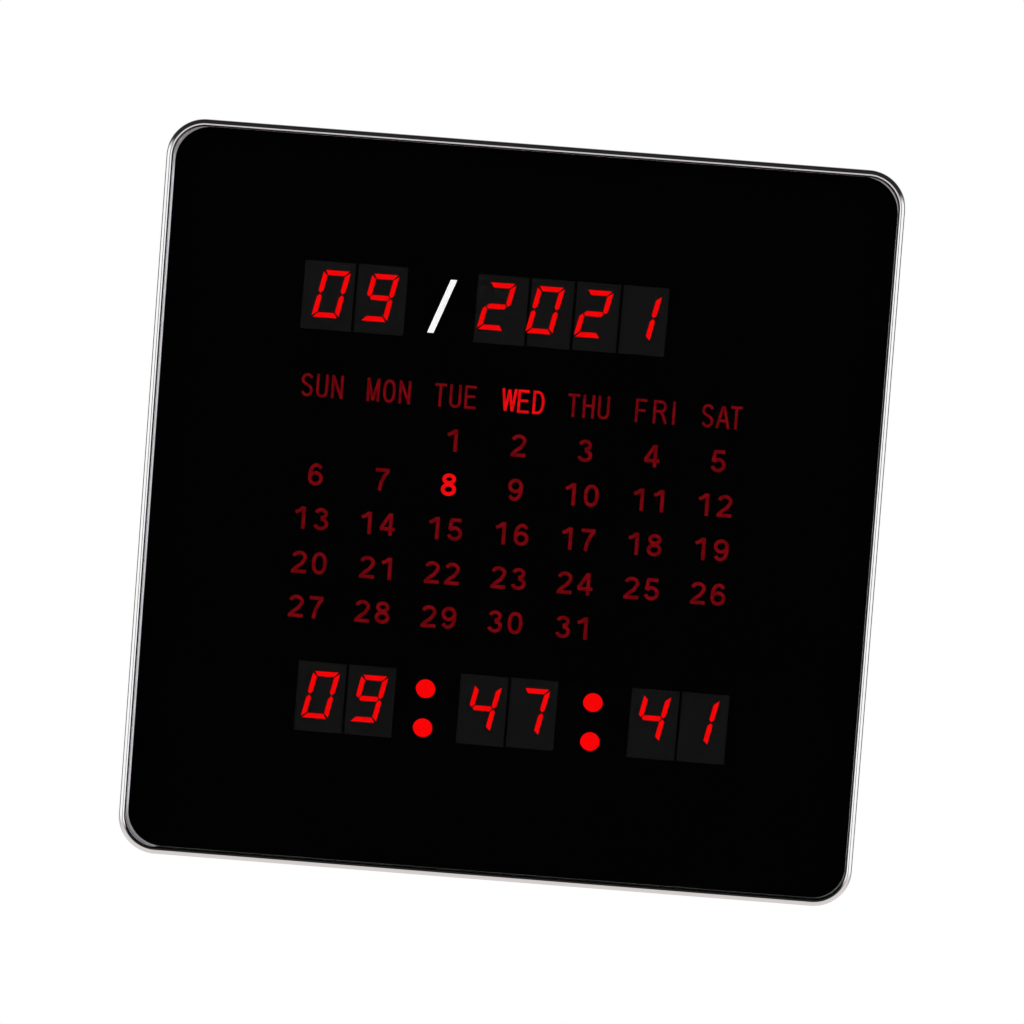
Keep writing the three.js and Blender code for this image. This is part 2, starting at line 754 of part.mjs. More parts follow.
// What opens the pan, from the keyholes to the vents.
function coverCuts() {
  const through = coverWall + overrun;
  const headRadius = screwHeadRadius + seam;
  const holeRadius = shankRadius + seam;
  const counterbores = fourCorners.map(([sideX, sideZ]) =>
    rod(sideX * cornerScrew, sideZ * cornerScrew, headRadius, -overrun, columnLength - columnFloor));
  const screwHoles = fourCorners.map(([sideX, sideZ]) =>
    rod(sideX * cornerScrew, sideZ * cornerScrew, holeRadius, -overrun, columnLength + overrun));
  const pilots = [-1, 1].map((side) =>
    rod(side * fixing, -fixing, holeRadius, boardFront - boardScrewLength - seam, boardFront));
  const dishes = buttons.map(({ z }) =>
    rod(buttonX, z, fingerDishRadius, -overrun, fingerDishDepth, circleSteps));
  const bores = buttons.map(({ z }) =>
    rod(buttonX, z, buttonRadius + seam, -overrun, guideLength + overrun, circleSteps));
  const doorway = block(
    batteryX, batteryZ, doorWidth + 2 * seam, doorHeight + 2 * seam, -overrun, wellDepth + overrun);
  const pinReach = doorWidth / 2 + 2 * seam + doorPinLength;
  const pinHole = levelRod(
    batteryX - pinReach, batteryX + pinReach, doorAxisZ, doorAxisDepth, doorPinRadius + seam);
  const notch = rod(batteryX, doorBottomZ, notchRadius, -overrun, notchDepth, circleSteps);
  const plugHole = uprightRod(
    0, jackAxisDepth, -caseSize / 2, coverInner + overrun - caseSize / 2, plugHoleRadius, circleSteps);
  const soundRing = Array.from({ length: soundHoleCount }, (_, i) => {
    const angle = (i / soundHoleCount) * 2 * Math.PI;
    const [x, z] = [soundHoleRing * Math.cos(angle), soundHoleRing * Math.sin(angle)];
    return rod(buzzerX + x, buzzerZ + z, soundHoleRadius, -overrun, through);
  });
  const soundMiddle = rod(buzzerX, buzzerZ, soundHoleRadius, -overrun, through);
  const vents = Array.from({ length: ventCount }, (_, i) =>
    block((i - (ventCount - 1) / 2) * ventPitch, ventZ, ventWidth, ventHeight, -overrun, through));
  const plateRecess = block(
    0, plateRecessZ, plateRecessWidth, plateRecessHeight, -overrun, plateRecessDepth);
  return [
    ...counterbores, ...screwHoles, ...pilots, ...dishes, ...bores, doorway, pinHole, notch, plugHole,
    ...soundRing, soundMiddle, ...vents, plateRecess, keyholeCut(-keyholeX), keyholeCut(keyholeX),
  ];
}

function rearCover() {
  return cut(joined([coverShell(), ...coverFeatures()]), coverCuts());
}

// The door, shut: a plate whose upper edge is rounded about the hinge line, with a stub pin at each end.
function batteryDoor() {
  const near = doorSink;
  const far = doorSink + doorThickness;
  const plateHeight = doorAxisZ - doorBottomZ;
  const plate = block(batteryX, doorBottomZ + plateHeight / 2, doorWidth, plateHeight, near, far);
  const [left, right] = [batteryX - doorWidth / 2, batteryX + doorWidth / 2];
  const edge = levelRod(left, right, doorAxisZ, doorAxisDepth, doorThickness / 2);
  const pinOut = seam + doorPinLength;
  const pin = levelRod(left - pinOut, right + pinOut, doorAxisZ, doorAxisDepth, doorPinRadius);
  const grips = Array.from({ length: gripCount }, (_, i) => {
    const z = doorBottomZ + gripRise + i * gripPitch;
    return block(batteryX, z, gripLength, gripWidth, near - overrun, near + gripDepth);
  });
  return cut(joined([plate, edge, pin]), grips);
}

// A push button: cap, a flange that the guide holds back, and a stem that rests on its switch.
function pushButton() {
  const flangeNear = guideLength + seam;
  const flangeFar = flangeNear + flangeThickness;
  const flangeRadius = buttonRadius + flangeWidth;
  return turned([
    [0, buttonSink],
    [buttonRadius - buttonChamfer, buttonSink],
    [buttonRadius, buttonSink + buttonChamfer],
    [buttonRadius, flangeNear],
    [flangeRadius, flangeNear],
    [flangeRadius, flangeFar],
    [plungerRadius, flangeFar],
    [plungerRadius, plungerTop],
    [0, plungerTop],
  ]);
}

// The switch body has a well that the plunger sinks into by the button's travel.
function switchBody() {
  const near = boardRear - switchHeight;
  const wellEnd = near + plungerSunk + buttonTravel + seam / 2;
  const body = block(0, 0, switchSize, switchSize, near, boardRear);
  return body.subtract(rod(0, 0, plungerRadius + seam, near - overrun, wellEnd));
}

function switchPlunger() {
  return rod(0, 0, plungerRadius, plungerTop, boardRear - switchHeight + plungerSunk);
}

const holderTop = boardRear - holderFloor - cellThickness - holderLip;

function coinCell() {
  const near = boardRear - holderFloor - cellThickness;
  const far = boardRear - holderFloor;
  return turned([
    [0, near],
    [cellRadius - cellChamfer, near],
    [cellRadius, near + cellChamfer],
    [cellRadius, far - cellChamfer],
    [cellRadius - cellChamfer, far - cellChamfer],
    [cellRadius - cellChamfer, far],
    [0, far],
  ]);
}

// A square tray with a round pocket, a slot for a thumb and a clip over the cell's upper edge.
function coinCellHolder() {
  const pocketRadius = cellRadius + seam;
  const size = 2 * (pocketRadius + holderWall);
  const floor = boardRear - holderFloor;
  const slotLength = 2 * (holderWall + overrun);
  const tray = block(0, 0, size, size, holderTop, boardRear);
  const pocket = rod(0, 0, pocketRadius, holderTop - overrun, floor, circleSteps);
  const thumbSlot = block(0, -pocketRadius, thumbSlotWidth, slotLength, holderTop - overrun, floor);
  const clipHeight = clipReach + holderWall;
  const clipZ = size / 2 - clipHeight / 2;
  const clip = block(0, clipZ, clipWidth, clipHeight, holderTop - clipThickness, holderTop);
  return cut(tray, [pocket, thumbSlot]).add(clip);
}

// The power inlet: a block on the board's tab, its bore and centre pin facing down.
function dcJack() {
  const middleZ = jackMouthZ + jackLength / 2;
  const body = block(0, middleZ, jackWidth, jackLength, coverWall + jackGap, boardRear);
  const boreEnd = jackMouthZ + jackBoreLength;
  const bore = uprightRod(0, jackAxisDepth, jackMouthZ - overrun, boreEnd, jackBoreRadius, circleSteps);
  const pin = uprightRod(0, jackAxisDepth, jackMouthZ + jackPinSunk, boreEnd + overrun, jackPinRadius);
  return body.subtract(bore).add(pin);
}

function buzzer() {
  const near = coverWall + buzzerGap;
  return turned([
    [0, near + buzzerHoleDepth],
    [buzzerHoleRadius, near + buzzerHoleDepth],
    [buzzerHoleRadius, near],
    [buzzerRadius, near],
    [buzzerRadius, boardRear],
    [0, boardRear],
  ]);
}

// A chip package with a row of legs along each long side.
function chip(length, legCount) {
  const near = boardRear - chipHeight;
  const legs = Array.from({ length: legCount }, (_, i) => {
    const x = (i - (legCount - 1) / 2) * legPitch;
    return block(x, 0, legWidth, chipWidth + 2 * legReach, boardRear - legHeight, boardRear);
  });
  return joined([block(0, 0, length, chipWidth, near, boardRear), ...legs]);
}

function reservoirCapacitor() {
  const near = coverWall + capacitorGap;
  const groove = boardRear - capacitorGrooveRise;
  return turned([
    [0, near],
    [capacitorRadius - capacitorGroove, near],
    [capacitorRadius, near + capacitorGroove],
    [capacitorRadius, groove - capacitorGroove],
    [capacitorRadius - capacitorGroove, groove],
    [capacitorRadius, groove + capacitorGroove],
    [capacitorRadius, boardRear],
    [0, boardRear],
  ]);
}

// A cross-head screw whose head rests at one depth. The shank runs on to its tip, forwards or back.
function screw(seatDepth, length, direction) {
  const span = (from, to) => [Math.min(from, to), Math.max(from, to)];
  const headEnd = seatDepth - direction * screwHeadHeight;
  const recess = span(headEnd - direction * overrun, headEnd + direction * driveDepth);
  const shankRoot = seatDepth - (direction * driveDepth) / 2;
  const tip = seatDepth + direction * length;
  const head = rod(0, 0, screwHeadRadius, ...span(seatDepth, headEnd));
  const shank = rod(0, 0, shankRadius, ...span(shankRoot, tip));
  return cut(head.add(shank), [
    block(0, 0, driveWidth, driveLength, ...recess),
    block(0, 0, driveLength, driveWidth, ...recess),
  ]);
}

addPiece("front_panel", frontPanel(), clearAcrylic);
addPiece("mask_sheet", maskSheet(), blackPrint);
addPiece("bezel_frame", bezelFrame(), plated);
addPiece("rear_cover", rearCover(), blackPlastic);
addPiece("display_board", displayBoard(), boardGreen);
addPiece("calendar_light_box", calendarLightBox(), whitePlastic);
addPiece("calendar_diffuser", calendarDiffuser(), whitePlastic);
addPiece("upper_digit_frame", digitFrame(upperWindowZ), greyPlastic);
addPiece("lower_digit_frame", digitFrame(lowerWindowZ), greyPlastic);

for (const { name, x, z } of digitGroups.flatMap(digitPlaces)) {
  addPiece(`${name}_digit_case`, digitCase(), greyPlastic, x, z);
  addPiece(`${name}_digit_lens`, digitLens(), redResin, x, z);
}
for (const { name, x, z } of colonLamps) {
  addPiece(name, colonLamp(), redLamp, x, z);
}
for (const { name, z } of buttons) {
  addPiece(`${name}_button`, pushButton(), buttonRubber, buttonX, z);
  addPiece(`${name}_switch_body`, switchBody(), chipBlack, buttonX, z);
  addPiece(`${name}_switch_plunger`, switchPlunger(), whitePlastic, buttonX, z);
}
addPiece("battery_door", batteryDoor(), blackPlastic);
addPiece("coin_cell", coinCell(), steel, batteryX, batteryZ);
addPiece("coin_cell_holder", coinCellHolder(), whitePlastic, batteryX, batteryZ);
addPiece("dc_jack", dcJack(), chipBlack);
addPiece("buzzer", buzzer(), chipBlack, buzzerX, buzzerZ);
addPiece("control_chip", chip(controlChipLength, controlChipLegs), chipBlack, controlChipX, controlChipZ);
addPiece("driver_chip", chip(driverChipLength, driverChipLegs), chipBlack, driverChipX, driverChipZ);
addPiece("reservoir_capacitor", reservoirCapacitor(), capacitorSleeve, capacitorX, capacitorZ);

const sideName = (sideX) => (sideX < 0 ? "left" : "right");
for (const [sideX, sideZ] of fourCorners) {
  const name = `cover_screw_${sideZ > 0 ? "upper" : "lower"}_${sideName(sideX)}`;
  const solid = screw(columnLength - columnFloor, coverScrewLength, 1);
  addPiece(name, solid, steel, sideX * cornerScrew, sideZ * cornerScrew);
}
for (const sideX of [-1, 1]) {
  const solid = screw(boardFront, boardScrewLength, -1);
  addPiece(`board_screw_${sideName(sideX)}`, solid, steel, sideX * fixing, -fixing);
}

export default clock;
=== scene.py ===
# %% [markdown]
# A square digital wall clock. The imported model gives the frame: every piece at its real size and place,
# in metres, with +Z up and the face looking along -Y. This script loads it, gives each surface its
# finish, and adds the smooth skins, the print and the light that plain solids can't carry.

# %% Load the frame
import math

import bpy
import numpy as np
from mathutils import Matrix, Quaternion, Vector


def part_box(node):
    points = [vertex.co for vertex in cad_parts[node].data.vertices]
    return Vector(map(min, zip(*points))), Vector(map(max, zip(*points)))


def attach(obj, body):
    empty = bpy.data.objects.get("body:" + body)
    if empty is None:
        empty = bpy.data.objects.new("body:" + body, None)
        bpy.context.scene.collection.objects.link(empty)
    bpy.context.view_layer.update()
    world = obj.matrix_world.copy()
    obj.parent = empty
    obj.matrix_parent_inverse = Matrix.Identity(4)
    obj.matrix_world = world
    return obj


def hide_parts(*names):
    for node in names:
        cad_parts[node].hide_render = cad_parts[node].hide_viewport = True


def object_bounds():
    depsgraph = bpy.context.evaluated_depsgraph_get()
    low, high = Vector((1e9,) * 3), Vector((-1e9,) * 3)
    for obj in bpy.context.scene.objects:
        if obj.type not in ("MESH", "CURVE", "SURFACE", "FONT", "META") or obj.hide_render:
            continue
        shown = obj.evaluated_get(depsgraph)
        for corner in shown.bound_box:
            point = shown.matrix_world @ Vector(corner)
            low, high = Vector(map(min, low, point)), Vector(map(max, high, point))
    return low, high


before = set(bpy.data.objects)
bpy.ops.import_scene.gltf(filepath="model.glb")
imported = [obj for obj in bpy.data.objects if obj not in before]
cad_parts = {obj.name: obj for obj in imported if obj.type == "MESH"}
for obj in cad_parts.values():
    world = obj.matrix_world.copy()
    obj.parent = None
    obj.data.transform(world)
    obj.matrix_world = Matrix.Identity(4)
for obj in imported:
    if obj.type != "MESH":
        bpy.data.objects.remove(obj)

MM = 0.001
cad_low, cad_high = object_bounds()
print("packed box, mm:", [round(side / MM, 2) for side in cad_high - cad_low])

# %% [markdown]
# The camera comes first, because everything else is judged through it. The photograph was taken with a
# long lens, a little from the right and from above, and the clock leans in the picture. A long lens keeps
# the square almost square. The numbers below were found by matching the rim of the case on all four
# sides.

# %% Camera
CAMERA_DISTANCE = 1.6
CAMERA_AZIMUTH = math.radians(1.276)
CAMERA_ELEVATION = math.radians(4.112)
CAMERA_ROLL = math.radians(4.375)
CAMERA_LENS = 218.98
CAMERA_SHIFT = (0.00197, 0.00178)
CAMERA_AIM = Vector((0, cad_low.y, 0))


def new_object(name, data):
    """An object in the scene with this mesh, lamp or camera as its data."""
    thing = bpy.data.objects.new(name, data)
    bpy.context.scene.collection.objects.link(thing)
    return thing


def add_camera():
    """The camera stands at aim + distance * back, where back is the unit vector of azimuth and elevation,
    and is rolled about its own view axis."""
    camera = new_object("camera", bpy.data.cameras.new("camera"))
    back = Vector((
        math.sin(CAMERA_AZIMUTH) * math.cos(CAMERA_ELEVATION),
        -math.cos(CAMERA_AZIMUTH) * math.cos(CAMERA_ELEVATION),
        math.sin(CAMERA_ELEVATION),
    ))
    camera.location = CAMERA_AIM + back * CAMERA_DISTANCE
    camera.rotation_mode = "QUATERNION"
    level = (-back).to_track_quat("-Z", "Y")
    camera.rotation_quaternion = level @ Quaternion((0, 0, 1), CAMERA_ROLL)
    camera.data.lens = CAMERA_LENS
    camera.data.shift_x, camera.data.shift_y = CAMERA_SHIFT
    bpy.context.scene.camera = camera
    return camera


print("camera at", [round(c, 3) for c in add_camera().location])

# %% [markdown]
# The world and every finish are trees of nodes. Joining them by hand takes many lines, so one small helper
# adds a node with its plain numbers and its links in a single line.

# %% Node helper
class Nodes:
    """A node tree with short ways to add a node and join sockets."""

    def __init__(self, tree):
        self.tree = tree
        tree.nodes.clear()

    def add(self, kind, inputs=None, **settings):
        node = self.tree.nodes.new(kind)
        for key, value in settings.items():
            setattr(node, key, value)
        for key, value in (inputs or {}).items():
            if isinstance(value, bpy.types.NodeSocket):
                self.tree.links.new(value, node.inputs[key])
            else:
                node.inputs[key].default_value = value
        return node

    def math(self, operation, *values):
        return self.add("ShaderNodeMath", dict(enumerate(values)), operation=operation).outputs[0]

    def vector(self, operation, *values):
        return self.add("ShaderNodeVectorMath", dict(enumerate(values)), operation=operation).outputs

    def dimmed(self, color, level):
        return self.add("ShaderNodeVectorMath", {0: color, 3: level}, operation="SCALE").outputs[0]

    def ramp(self, value, low, high, start=0.0, end=1.0):
        """A smooth step from start to end as value goes from low to high."""
        inputs = {"Value": value, "From Min": low, "From Max": high, "To Min": start, "To Max": end}
        return self.add("ShaderNodeMapRange", inputs, interpolation_type="SMOOTHSTEP").outputs["Result"]


# %% [markdown]
# The light is a white studio tent with a black card in front of the clock. Matt surfaces only need plain
# even light. Mirrors are different: plating looks like plating because it shows bright walls beside dark
# gaps. So the world is one even white for the camera, and for mirror rays it is shaped by direction:
# dark in front and a little above, so that the face stays black, dark overhead but for the wall behind,
# white at the sides, and a little warmer and dimmer below.

# %% World
MATT_LIGHT = 0.62
FRONT_CARD = 0.003
CARD_DIRECTION = (0.0, -0.9954, 0.0958)
CARD_SQUEEZE = (0.5, 1.0, 1.0)  # the card is twice as wide as it is tall
CARD_EDGE = (0.92, 0.97)  # how directly a ray goes to the card where it ends and is full
OVERHEAD = 0.02
OVERHEAD_EDGE = (0.12, 0.4)  # how steeply a ray climbs where the dark overhead starts and is full
BEHIND_EDGE = (0.25, 0.6)  # how directly it goes back to the wall where the dark gives way again
BELOW = (0.672, 0.622, 0.613, 1)
BELOW_EDGE = (-0.1, -0.4)


def set_world():
    world = bpy.data.worlds.new("studio")
    bpy.context.scene.world = world
    world.use_nodes = True
    nodes = Nodes(world.node_tree)
    direction = nodes.add("ShaderNodeTexCoord").outputs["Generated"]
    parts = nodes.add("ShaderNodeSeparateXYZ", {0: direction})
    squeezed = nodes.vector("MULTIPLY", direction, CARD_SQUEEZE)["Vector"]
    squeezed = nodes.vector("NORMALIZE", squeezed)["Vector"]
    to_card = nodes.vector("DOT_PRODUCT", squeezed, CARD_DIRECTION)["Value"]
    card = nodes.ramp(to_card, *CARD_EDGE, 1.0, FRONT_CARD)
    overhead = nodes.ramp(parts.outputs["Z"], *OVERHEAD_EDGE, 1.0, OVERHEAD)
    behind = nodes.ramp(parts.outputs["Y"], *BEHIND_EDGE)
    mirrored = nodes.math("MULTIPLY", card, nodes.math("MAXIMUM", overhead, behind))
    path = nodes.add("ShaderNodeLightPath").outputs
    seen = path["Is Camera Ray"]
    shaped = nodes.math("MAXIMUM", path["Is Glossy Ray"], path["Is Transmission Ray"])
    level = nodes.add("ShaderNodeMix", {"Factor": shaped, "A": MATT_LIGHT, "B": mirrored}).outputs["Result"]
    level = nodes.add("ShaderNodeMix", {"Factor": seen, "A": level, "B": 1.0}).outputs["Result"]
    below = nodes.math("MULTIPLY", nodes.ramp(parts.outputs["Z"], *BELOW_EDGE), shaped)
    tint = nodes.add("ShaderNodeMix", {"Factor": below, "A": (1, 1, 1, 1), "B": BELOW}, data_type="RGBA")
    shade = nodes.add("ShaderNodeBackground", {"Color": tint.outputs["Result"], "Strength": level})
    nodes.add("ShaderNodeOutputWorld", {"Surface": shade.outputs[0]})


set_world()
print("world set, matt light", MATT_LIGHT)

# %% [markdown]
# Soft lamps beside and above give the matt back and sides their shape. They are large, so their shadows
# are soft, and they stand outside the mirror direction of the face.

# %% Lamps
LAMPS = [
    # name, place, size, watts
    ("left_lamp", (-1.3, -0.7, 0.8), 1.0, 11.0),
    ("right_lamp", (1.4, -0.5, 0.5), 1.0, 8.0),
    ("rear_lamp", (0.5, 1.5, 0.9), 1.2, 13.0),
]


def add_lamp(name, place, size, watts):
    """A disk lamp aimed at the middle of the clock. Mirror rays don't see it."""
    lamp = new_object(name, bpy.data.lights.new(name, "AREA"))
    lamp.data.shape = "DISK"
    lamp.data.size = size
    lamp.data.energy = watts
    lamp.location = place
    lamp.rotation_mode = "QUATERNION"
    lamp.rotation_quaternion = (-Vector(place)).to_track_quat("-Z", "Y")
    lamp.visible_glossy = False


for lamp_row in LAMPS:
    add_lamp(*lamp_row)
print(len(LAMPS), "lamps")

# %% [markdown]
# Three small tools carry all the modelling. A shape is a grid of points worked out as whole arrays: rounded
# squares at several depths, or a profile turned about an axis. Faces then join each row of the grid to the
# next. A flat plate with holes is a filled curve made a mesh. Bending every corner of a profile a little
# catches light the way a moulded or polished edge does.

# %% Points and faces
CORNER_STEPS = 24
TURN_STEPS = 72
SOFT_STEPS = 3
WELD = 1e-7
TINY = 1e-12  # keeps a stretch without length from being divided by nothing


def at_depth(flat, depth):
    """Flat (x, z) points at a depth from the wall: (x, -depth, z)."""
    return np.stack([flat[..., 0], np.broadcast_to(-depth, flat.shape[:-1]), flat[..., 1]], axis=-1)


def rounded_outline(sides, ends, radii):
    """A rectangle with its own radius at each corner, from the upper right one round by the left. The point
    at angle a of a corner is the corner's arc centre + radius * (cos a, sin a)."""
    quarter = np.arange(4).repeat(CORNER_STEPS + 1)
    angle = (quarter + np.tile(np.linspace(0, 1, CORNER_STEPS + 1), 4)) * np.pi / 2
    radius = np.asarray(radii)[..., quarter]
    right, upper = np.isin(quarter, (0, 3)), np.isin(quarter, (0, 1))
    x = np.where(right, sides[1] - radius, sides[0] + radius) + radius * np.cos(angle)
    z = np.where(upper, ends[1] - radius, ends[0] + radius) + radius * np.sin(angle)
    return np.stack([x, z], axis=-1)


def square_loops(levels):
    """One corner-rounded square for each level (half size, corner radius, depth from the wall)."""
    half, radius, depth = np.array(levels, float).T[:, :, None]
    return at_depth(rounded_outline((-half, half), (-half, half), radius.repeat(4, axis=1)), depth)


def turned(profile, origin, axis=(0, -1, 0), across=(1, 0, 0)):
    """A profile of (radius, distance) pairs turned about a line: origin + distance * axis +
    radius * (cos a * across + sin a * up), where across and up are square to the axis and to each other."""
    radius, distance = np.array(profile, float).T[:, :, None, None]
    angle = np.linspace(0, 2 * np.pi, TURN_STEPS, endpoint=False)[None, :, None]
    arm = np.cos(angle) * across + np.sin(angle) * np.cross(axis, across)
    return np.array(origin) + distance * np.array(axis) + radius * arm


def grid_faces(rows, columns, ring):
    """Quads between each row of a grid and the next: (row, column), (row, column + 1) and the same two of
    the next row. Columns close on themselves, and rows too in a ring."""
    row = np.arange(rows if ring else rows - 1)[:, None]
    column = np.arange(columns)[None, :]
    next_row, next_column = (row + 1) % rows, (column + 1) % columns
    corners = [row * columns + column, row * columns + next_column,
               next_row * columns + next_column, next_row * columns + column]
    return np.stack(np.broadcast_arrays(*corners), axis=-1).reshape(-1, 4)


def softened(profile, radius, steps=SOFT_STEPS, closed=False):
    """Each corner P becomes the curve (1-t)^2 A + 2t(1-t) P + t^2 B, where A and B lie at that corner's
    radius from P, towards its neighbours. A radius of 0 leaves the corner sharp."""
    points = np.array(profile, float)
    reach = np.broadcast_to(np.array(radius, float), len(points)).copy()
    if not closed:
        reach[0] = reach[-1] = 0
    towards = [np.roll(points, shift, axis=0) - points for shift in (1, -1)]
    ends = [side / np.maximum(np.linalg.norm(side, axis=1, keepdims=True), TINY) for side in towards]
    first, last = [points + end * reach[:, None] for end in ends]
    t = np.linspace(0, 1, steps + 1)[None, :, None]
    curve = (1 - t) ** 2 * first[:, None] + 2 * t * (1 - t) * points[:, None] + t ** 2 * last[:, None]
    return curve.reshape(-1, 2)


print("steps in a corner:", CORNER_STEPS, "and round a turned piece:", TURN_STEPS)

# %% [markdown]
# A mesh becomes a piece in one place: doubles are merged, faces turned outwards, edges sharper than a set
# angle kept sharp, the piece hung on the body it rides on, and the plain solids it stands for hidden.

# %% Pieces
import bmesh

SHARP_ANGLE = math.radians(32)


def tidy_mesh(mesh):
    shape = bmesh.new()
    shape.from_mesh(mesh)
    bmesh.ops.remove_doubles(shape, verts=shape.verts, dist=WELD)
    bmesh.ops.recalc_face_normals(shape, faces=shape.faces)
    shape.to_mesh(mesh)
    shape.free()
    mesh.shade_smooth()
    mesh.set_sharp_from_angle(angle=SHARP_ANGLE)
    return mesh


def add_piece(name, mesh, finish, body="case", stands_for=(), even=False):
    """A mesh as a piece in the finish of that name. Where even is set, large faces decide the shading of
    the small ones beside them."""
    piece = new_object(name, tidy_mesh(mesh))
    mesh.materials.clear()
    mesh.materials.append(FINISHES[finish])
    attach(piece, body)
    if stands_for:
        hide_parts(*stands_for)
    if even:
        piece.modifiers.new("even_shading", "WEIGHTED_NORMAL").keep_sharp = True


def grid_mesh(name, grid, ring=False):
    """A closed surface over a grid of points. Where it isn't a ring, one face closes each end."""
    rows, columns = grid.shape[:2]
    faces = grid_faces(rows, columns, ring).tolist()
    if not ring:
        faces += [list(range(columns))[::-1], list(range((rows - 1) * columns, rows * columns))]
    mesh = bpy.data.meshes.new(name)
    mesh.from_pydata(grid.reshape(-1, 3).tolist(), [], faces)
    return mesh


def plate_mesh(name, loops, near, far):
    """A plate between two depths whose outline and holes are closed loops of (x, z) points."""
    curve = bpy.data.curves.new(name, "CURVE")
    curve.dimensions = "2D"
    curve.fill_mode = "BOTH"
    curve.extrude = (far - near) / 2
    for loop in loops:
        spline = curve.splines.new("POLY")
        spline.points.add(len(loop) - 1)
        flat = np.zeros((len(loop), 4))
        flat[:, :2] = loop
        flat[:, 3] = 1
        spline.points.foreach_set("co", flat.ravel())
        spline.use_cyclic_u = True
    flat_piece = bpy.data.objects.new(name, curve)
    mesh = bpy.data.meshes.new_from_object(flat_piece)
    bpy.data.objects.remove(flat_piece)
    bpy.data.curves.remove(curve)
    points = np.zeros(len(mesh.vertices) * 3)
    mesh.vertices.foreach_get("co", points)
    x, z, out = points.reshape(-1, 3).T
    placed = np.stack([x, -out - (near + far) / 2, z], axis=-1)
    mesh.vertices.foreach_set("co", placed.ravel())
    return mesh


def joined_mesh(name, meshes):
    """Several meshes as one."""
    shape = bmesh.new()
    for mesh in meshes:
        shape.from_mesh(mesh)
        bpy.data.meshes.remove(mesh)
    whole = bpy.data.meshes.new(name)
    shape.to_mesh(whole)
    shape.free()
    return whole


# %% [markdown]
# Finishes. Each is one principled shader whose plain numbers sit on its own sockets, with fine grain from
# noise in object space, so that it stays with the piece from every side. Moulded plastic is a little
# uneven in gloss, plating is almost a mirror with faint waves, and printed film is dead black.

# %% One shader, and its grain
FINISHES = {}
CLOUD_SCALE = 0.08  # clouds of gloss are coarser than the grain by this share
CLOUD_RANGE = (0.3, 0.7)


def new_material(name):
    """A material and its node tree, still empty."""
    material = bpy.data.materials.new(name)
    material.use_nodes = True
    return material, Nodes(material.node_tree)


def principled(name, color, roughness, **sockets):
    """A finish of one shader. Sockets are named as in the shader, with _ for each space."""
    FINISHES[name], nodes = new_material(name)
    inputs = {"Base Color": (*color, 1), "Roughness": roughness}
    inputs.update({key.replace("_", " "): value for key, value in sockets.items()})
    shader = nodes.add("ShaderNodeBsdfPrincipled", inputs)
    nodes.add("ShaderNodeOutputMaterial", {"Surface": shader.outputs[0]})
    return nodes, shader


def add_grain(nodes, shader, size, height, spread=0.0):
    """Bumps of one size and height in metres, and a spread of roughness about its middle value."""
    place = nodes.add("ShaderNodeTexCoord").outputs["Object"]
    noise = nodes.add("ShaderNodeTexNoise", {"Vector": place, "Scale": 1 / size, "Detail": 3.0})
    bump = nodes.add("ShaderNodeBump", {"Height": noise.outputs[0], "Distance": height, "Strength": 1.0})
    nodes.tree.links.new(bump.outputs[0], shader.inputs["Normal"])
    if spread:
        middle = shader.inputs["Roughness"].default_value
        coarse = {"Vector": place, "Scale": CLOUD_SCALE / size, "Detail": 2.0}
        cloud = nodes.add("ShaderNodeTexNoise", coarse)
        gloss = nodes.ramp(cloud.outputs[0], *CLOUD_RANGE, middle - spread, middle + spread)
        nodes.tree.links.new(gloss, shader.inputs["Roughness"])


# %% Grained finishes
GRAINED = [
    # name, colour, roughness, metallic, specular level, then size and height of the grain and the spread
    # of the roughness about its middle
    ("bright_plating", (0.95, 0.95, 0.955), 0.04, 1.0, 0.5, 0.004, 0.000001),
    ("black_print", (0.0009, 0.0009, 0.0009), 0.4, 0.0, 0.0, 0.0008, 0.000004),
    ("dark_grey_plastic", (0.0078, 0.0078, 0.0078), 0.6, 0.0, 0.02, 0.0004, 0.000004),
    ("unlit_resin", (0.0079, 0.0076, 0.0076), 0.6, 0.0, 0.02, 0.0006, 0.000004),
    ("face_tint", (0.0089, 0.009, 0.0089), 0.6, 0.0, 0.02, 0.0005, 0.000006),
    ("black_plastic", (0.012, 0.012, 0.0125), 0.5, 0.0, 0.5, 0.00035, 0.00002, 0.04),
    ("board_green", (0.008, 0.09, 0.03), 0.4, 0.0, 0.5, 0.0012, 0.00001),
    ("white_plastic", (0.78, 0.78, 0.75), 0.5, 0.0, 0.5, 0.0005, 0.00001),
    ("component_black", (0.012, 0.012, 0.013), 0.5, 0.0, 0.5, 0.0003, 0.00001),
    ("button_rubber", (0.03, 0.03, 0.032), 0.65, 0.0, 0.5, 0.0003, 0.00001, 0.06),
    ("capacitor_sleeve", (0.012, 0.016, 0.03), 0.35, 0.0, 0.5, 0.0008, 0.000006),
    ("steel", (0.55, 0.55, 0.56), 0.3, 1.0, 0.5, 0.0004, 0.000004, 0.08),
]

for name, color, roughness, metallic, specular, *grain in GRAINED:
    plain = principled(name, color, roughness, Metallic=metallic, Specular_IOR_Level=specular)
    add_grain(*plain, *grain)
print(len(FINISHES), "grained finishes")

# %% [markdown]
# Lit figures and lit print glow by themselves. Real lamps behind coloured resin would light them too, but
# each is seen as one even red, and a glowing surface gives that without noise. The unlit print glows dimly
# too: its red is the print's own, and its glow is painted light in place of the studio light that falls on
# it. A little unevenness and a darker slope round each segment keep it from looking cut out of paper.

# %% Glowing finishes
SLOPE_FACING = (-0.997, -0.945)  # how a face points from flat to as sloped as a segment's edge
GLOW_RANGE = (0.35, 0.65)


